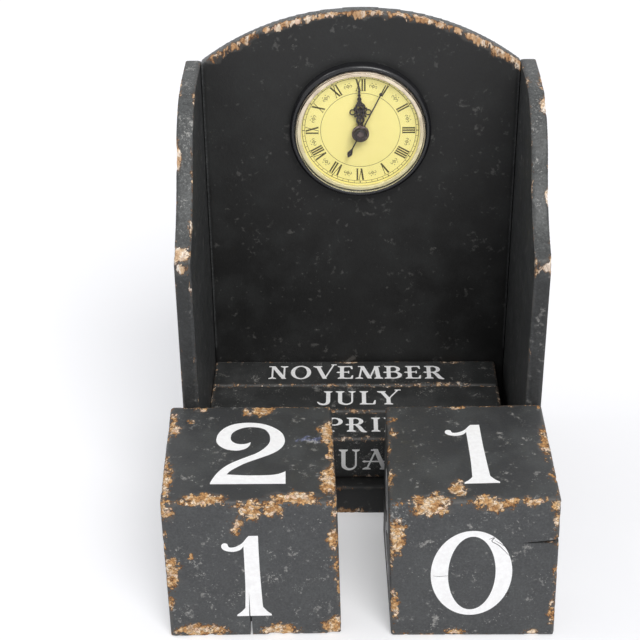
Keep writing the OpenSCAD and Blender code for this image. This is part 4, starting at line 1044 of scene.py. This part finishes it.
for name, strokes, angle, z in (("hour", hour_strokes, -0.2, HOUR_Z),
        ("minute", minute_strokes, -2.0, MINUTE_Z)):
    place = CLOCK @ Matrix.Rotation(-math.radians(angle), 4, "Z") @ Matrix.Translation((0, 0, z))
    stroke_plates(name + "_hand_openwork", [(outline, place) for outline in strokes], name + "_work",
        STUFF["dark_hands"], HAND_T - 0.022, 0.0, 0.002, replaced=(name + "_hand",))

# Print on the dial: two circles for the minutes, one inside the hours, radial numerals and small rosettes
ROMAN = ["XII", "I", "II", "III", "IIII", "V", "VI", "VII", "VIII", "IX", "X", "XI"]


def roman(text, high=5.9, thick=0.74, thin=0.32, gap=0.4):
    """Strokes of a Roman numeral, its middle on x = 0, and its width."""
    made, pen, line = [], 0.0, 0.2
    for letter in text:
        if letter == "I":
            made.append(leg(pen + thick / 2, 0, pen + thick / 2, high, thick))
            pen += thick + gap
        else:
            wide = 2.4
            low_left = wide / 2 if letter == "V" else wide - 0.3
            made.append(leg(pen + low_left, 0, pen + 0.3, high, thick + 0.1))
            made.append(leg(pen + (wide / 2 if letter == "V" else 0.3), 0, pen + wide - 0.25, high, thin))
            if letter == "X":
                made.append(arm(pen - 0.1, pen + 0.8, line / 2, line))
                made.append(arm(pen + wide - 0.9, pen + wide + 0.1, line / 2, line))
            made.append(arm(pen - 0.15, pen + 0.85, high - line / 2, line))
            made.append(arm(pen + wide - 0.75, pen + wide + 0.15, high - line / 2, line))
            pen += wide + gap * 0.7
    width = pen - gap
    start_i, end_i = text.find("I"), text.rfind("I")
    if start_i >= 0:
        before = sum(2.4 + gap * 0.7 for c in text[:start_i] if c != "I")
        after = before + (end_i - start_i + 1) * (thick + gap) - gap
        for y in (line / 2, high - line / 2):
            made.append(arm(before - 0.18, after + 0.18, y, line))
    return [[(x - width / 2, y) for x, y in outline] for outline in made]


def around(angle, r):
    """A place on the dial at an angle clockwise from twelve, with up pointing outwards."""
    return CLOCK @ Matrix.Rotation(-math.radians(angle), 4, "Z") @ Matrix.Translation((0, r, 0))


print_strokes = [(outline, CLOCK) for r, wide in ((18.3, 0.2), (25.6, 0.2), (26.8, 0.26))
    for outline in ring_line(r, wide)]
for minute in range(60):
    print_strokes.append((leg(0, 0, 0, 1.2, 0.42 if minute % 5 == 0 else 0.2), around(minute * 6, 25.6)))
for hour in range(12):
    print_strokes += [(outline, around(hour * 30, 19.25)) for outline in roman(ROMAN[hour])]
    rosette = around(hour * 30 + 15, 22.2)
    for petal in range(8):
        turn = Matrix.Rotation(math.radians(petal * 45), 4, "Z")
        size = 0.85 if petal % 2 else 1.15
        print_strokes.append(([(0, 0.15), (0.17, size * 0.6), (0, size), (-0.17, size * 0.6)],
            rosette @ turn))
    for mirror in (-1, 1):
        print_strokes.append((ribbon([(mirror * 1.2, -0.9), (mirror * 1.75, -0.2), (mirror * 1.35, 0.45),
            (mirror * 1.0, 0.05)], [0.1, 0.24, 0.22, 0.14], 4), rosette))
        print_strokes.append((arc(mirror * 0.9, 1.35, 0.22, 0, 330, 8), rosette))
stroke_plates("dial_print", print_strokes, "clock", STUFF["dial_ink"], 0.02, 0.01, 0.001)

# Pin heads under the paint: low domes where the panel pins hold the boards
bpy.ops.mesh.primitive_uv_sphere_add(segments=20, ring_count=10, radius=PIN_HEAD_R * MM)
ball = bpy.context.object
ball_places = vertex_values(ball.data, "co")
seats = [((sign * SIDE_FACE_X, y, z), (1, 0, 0)) for sign in (-1, 1) for y, z in PIN_SIDE_YZ]
seats += [((x, REAR_FACE_Y, PIN_REAR_Z), (0, 1, 0)) for x in PIN_REAR_X]
heads = []
for at, through in seats:
    squeeze, at = Matrix.Scale(PIN_HEAD_FLAT, 3, Vector(through)), Vector(at) * MM
    head = ball.copy()
    head.data = ball.data.copy()
    scene.collection.objects.link(head)
    head.data.vertices.foreach_set("co", np.array([tuple(squeeze @ Vector(p) + at)
        for p in ball_places]).ravel())
    heads.append(head)
only(heads[0])
for head in heads:
    head.select_set(True)
bpy.ops.object.join()
bpy.data.objects.remove(ball)
bpy.ops.object.shade_smooth()
finish_piece(heads[0], "pin_heads", "case", STUFF["pin_steel"], ("panel_pins",))

# ---- Carried-over CAD nodes: each gets the real stuff of its slot ----

for row in frame["record"]["subparts"]:
    node = nodes[row["node"]]
    if not node.material_slots:
        node.data.materials.append(None)
    for material_slot in node.material_slots:
        material_slot.material = STUFF[row["material_slot"]]

# ---- Stage: a white sheet of paper, a big soft window in front and to the right, and an even sky ----

bpy.ops.mesh.primitive_plane_add(size=12)
floor = bpy.context.object
floor.name = "floor"
# Uncoated paper off a roll: matt white with a faint tooth, lifted a little for the eye so that it stays white
paper, tree, shader, place = start("white_background_paper", Specular_IOR_Level=0.1, Roughness=0.9,
    Emission_Color=colour("#FFFFFF"))
tooth = specks(tree, place, 3)
into(tree, shader, "Base Color", blend_colour(tree, tooth, colour("#DCDCDF"), colour("#E0E0E3")))
into(tree, shader, "Emission Strength", sums(tree, seen_by_eye(tree), PAPER_LIFT, operation="MULTIPLY"))
floor.data.materials.append(paper)

world = bpy.data.worlds.new("studio")
scene.world = world
world.use_nodes = True
tree = world.node_tree
tree.nodes.clear()
soft = add(tree, "Background", {"Color": colour("#F6F8FC"), "Strength": 0.5})
seen = add(tree, "Background", {"Color": colour("#FDFDFE"), "Strength": 1.0})
both = add(tree, "MixShader", {0: seen_by_eye(tree), 1: soft.outputs[0], 2: seen.outputs[0]})
add(tree, "OutputWorld", {"Surface": both.outputs[0]})

window = bpy.data.objects.new("window", bpy.data.lights.new("window", "SUN"))
window.data.energy = 2.05
window.data.angle = 0.6
window.data.color = colour("#FFFEFC")[:3]
window.rotation_euler = Vector((0.22, -0.61, 0.76)).to_track_quat("Z", "Y").to_euler()
scene.collection.objects.link(window)
skylight = bpy.data.objects.new("skylight", bpy.data.lights.new("skylight", "AREA"))
skylight.data.shape = "DISK"
skylight.data.size = 0.3
skylight.data.energy = 1.6
skylight.location = (-0.7, 0.0, 1.12)
skylight.rotation_euler = Vector((-0.7, 0.0, 0.96)).to_track_quat("Z", "Y").to_euler()
scene.collection.objects.link(skylight)
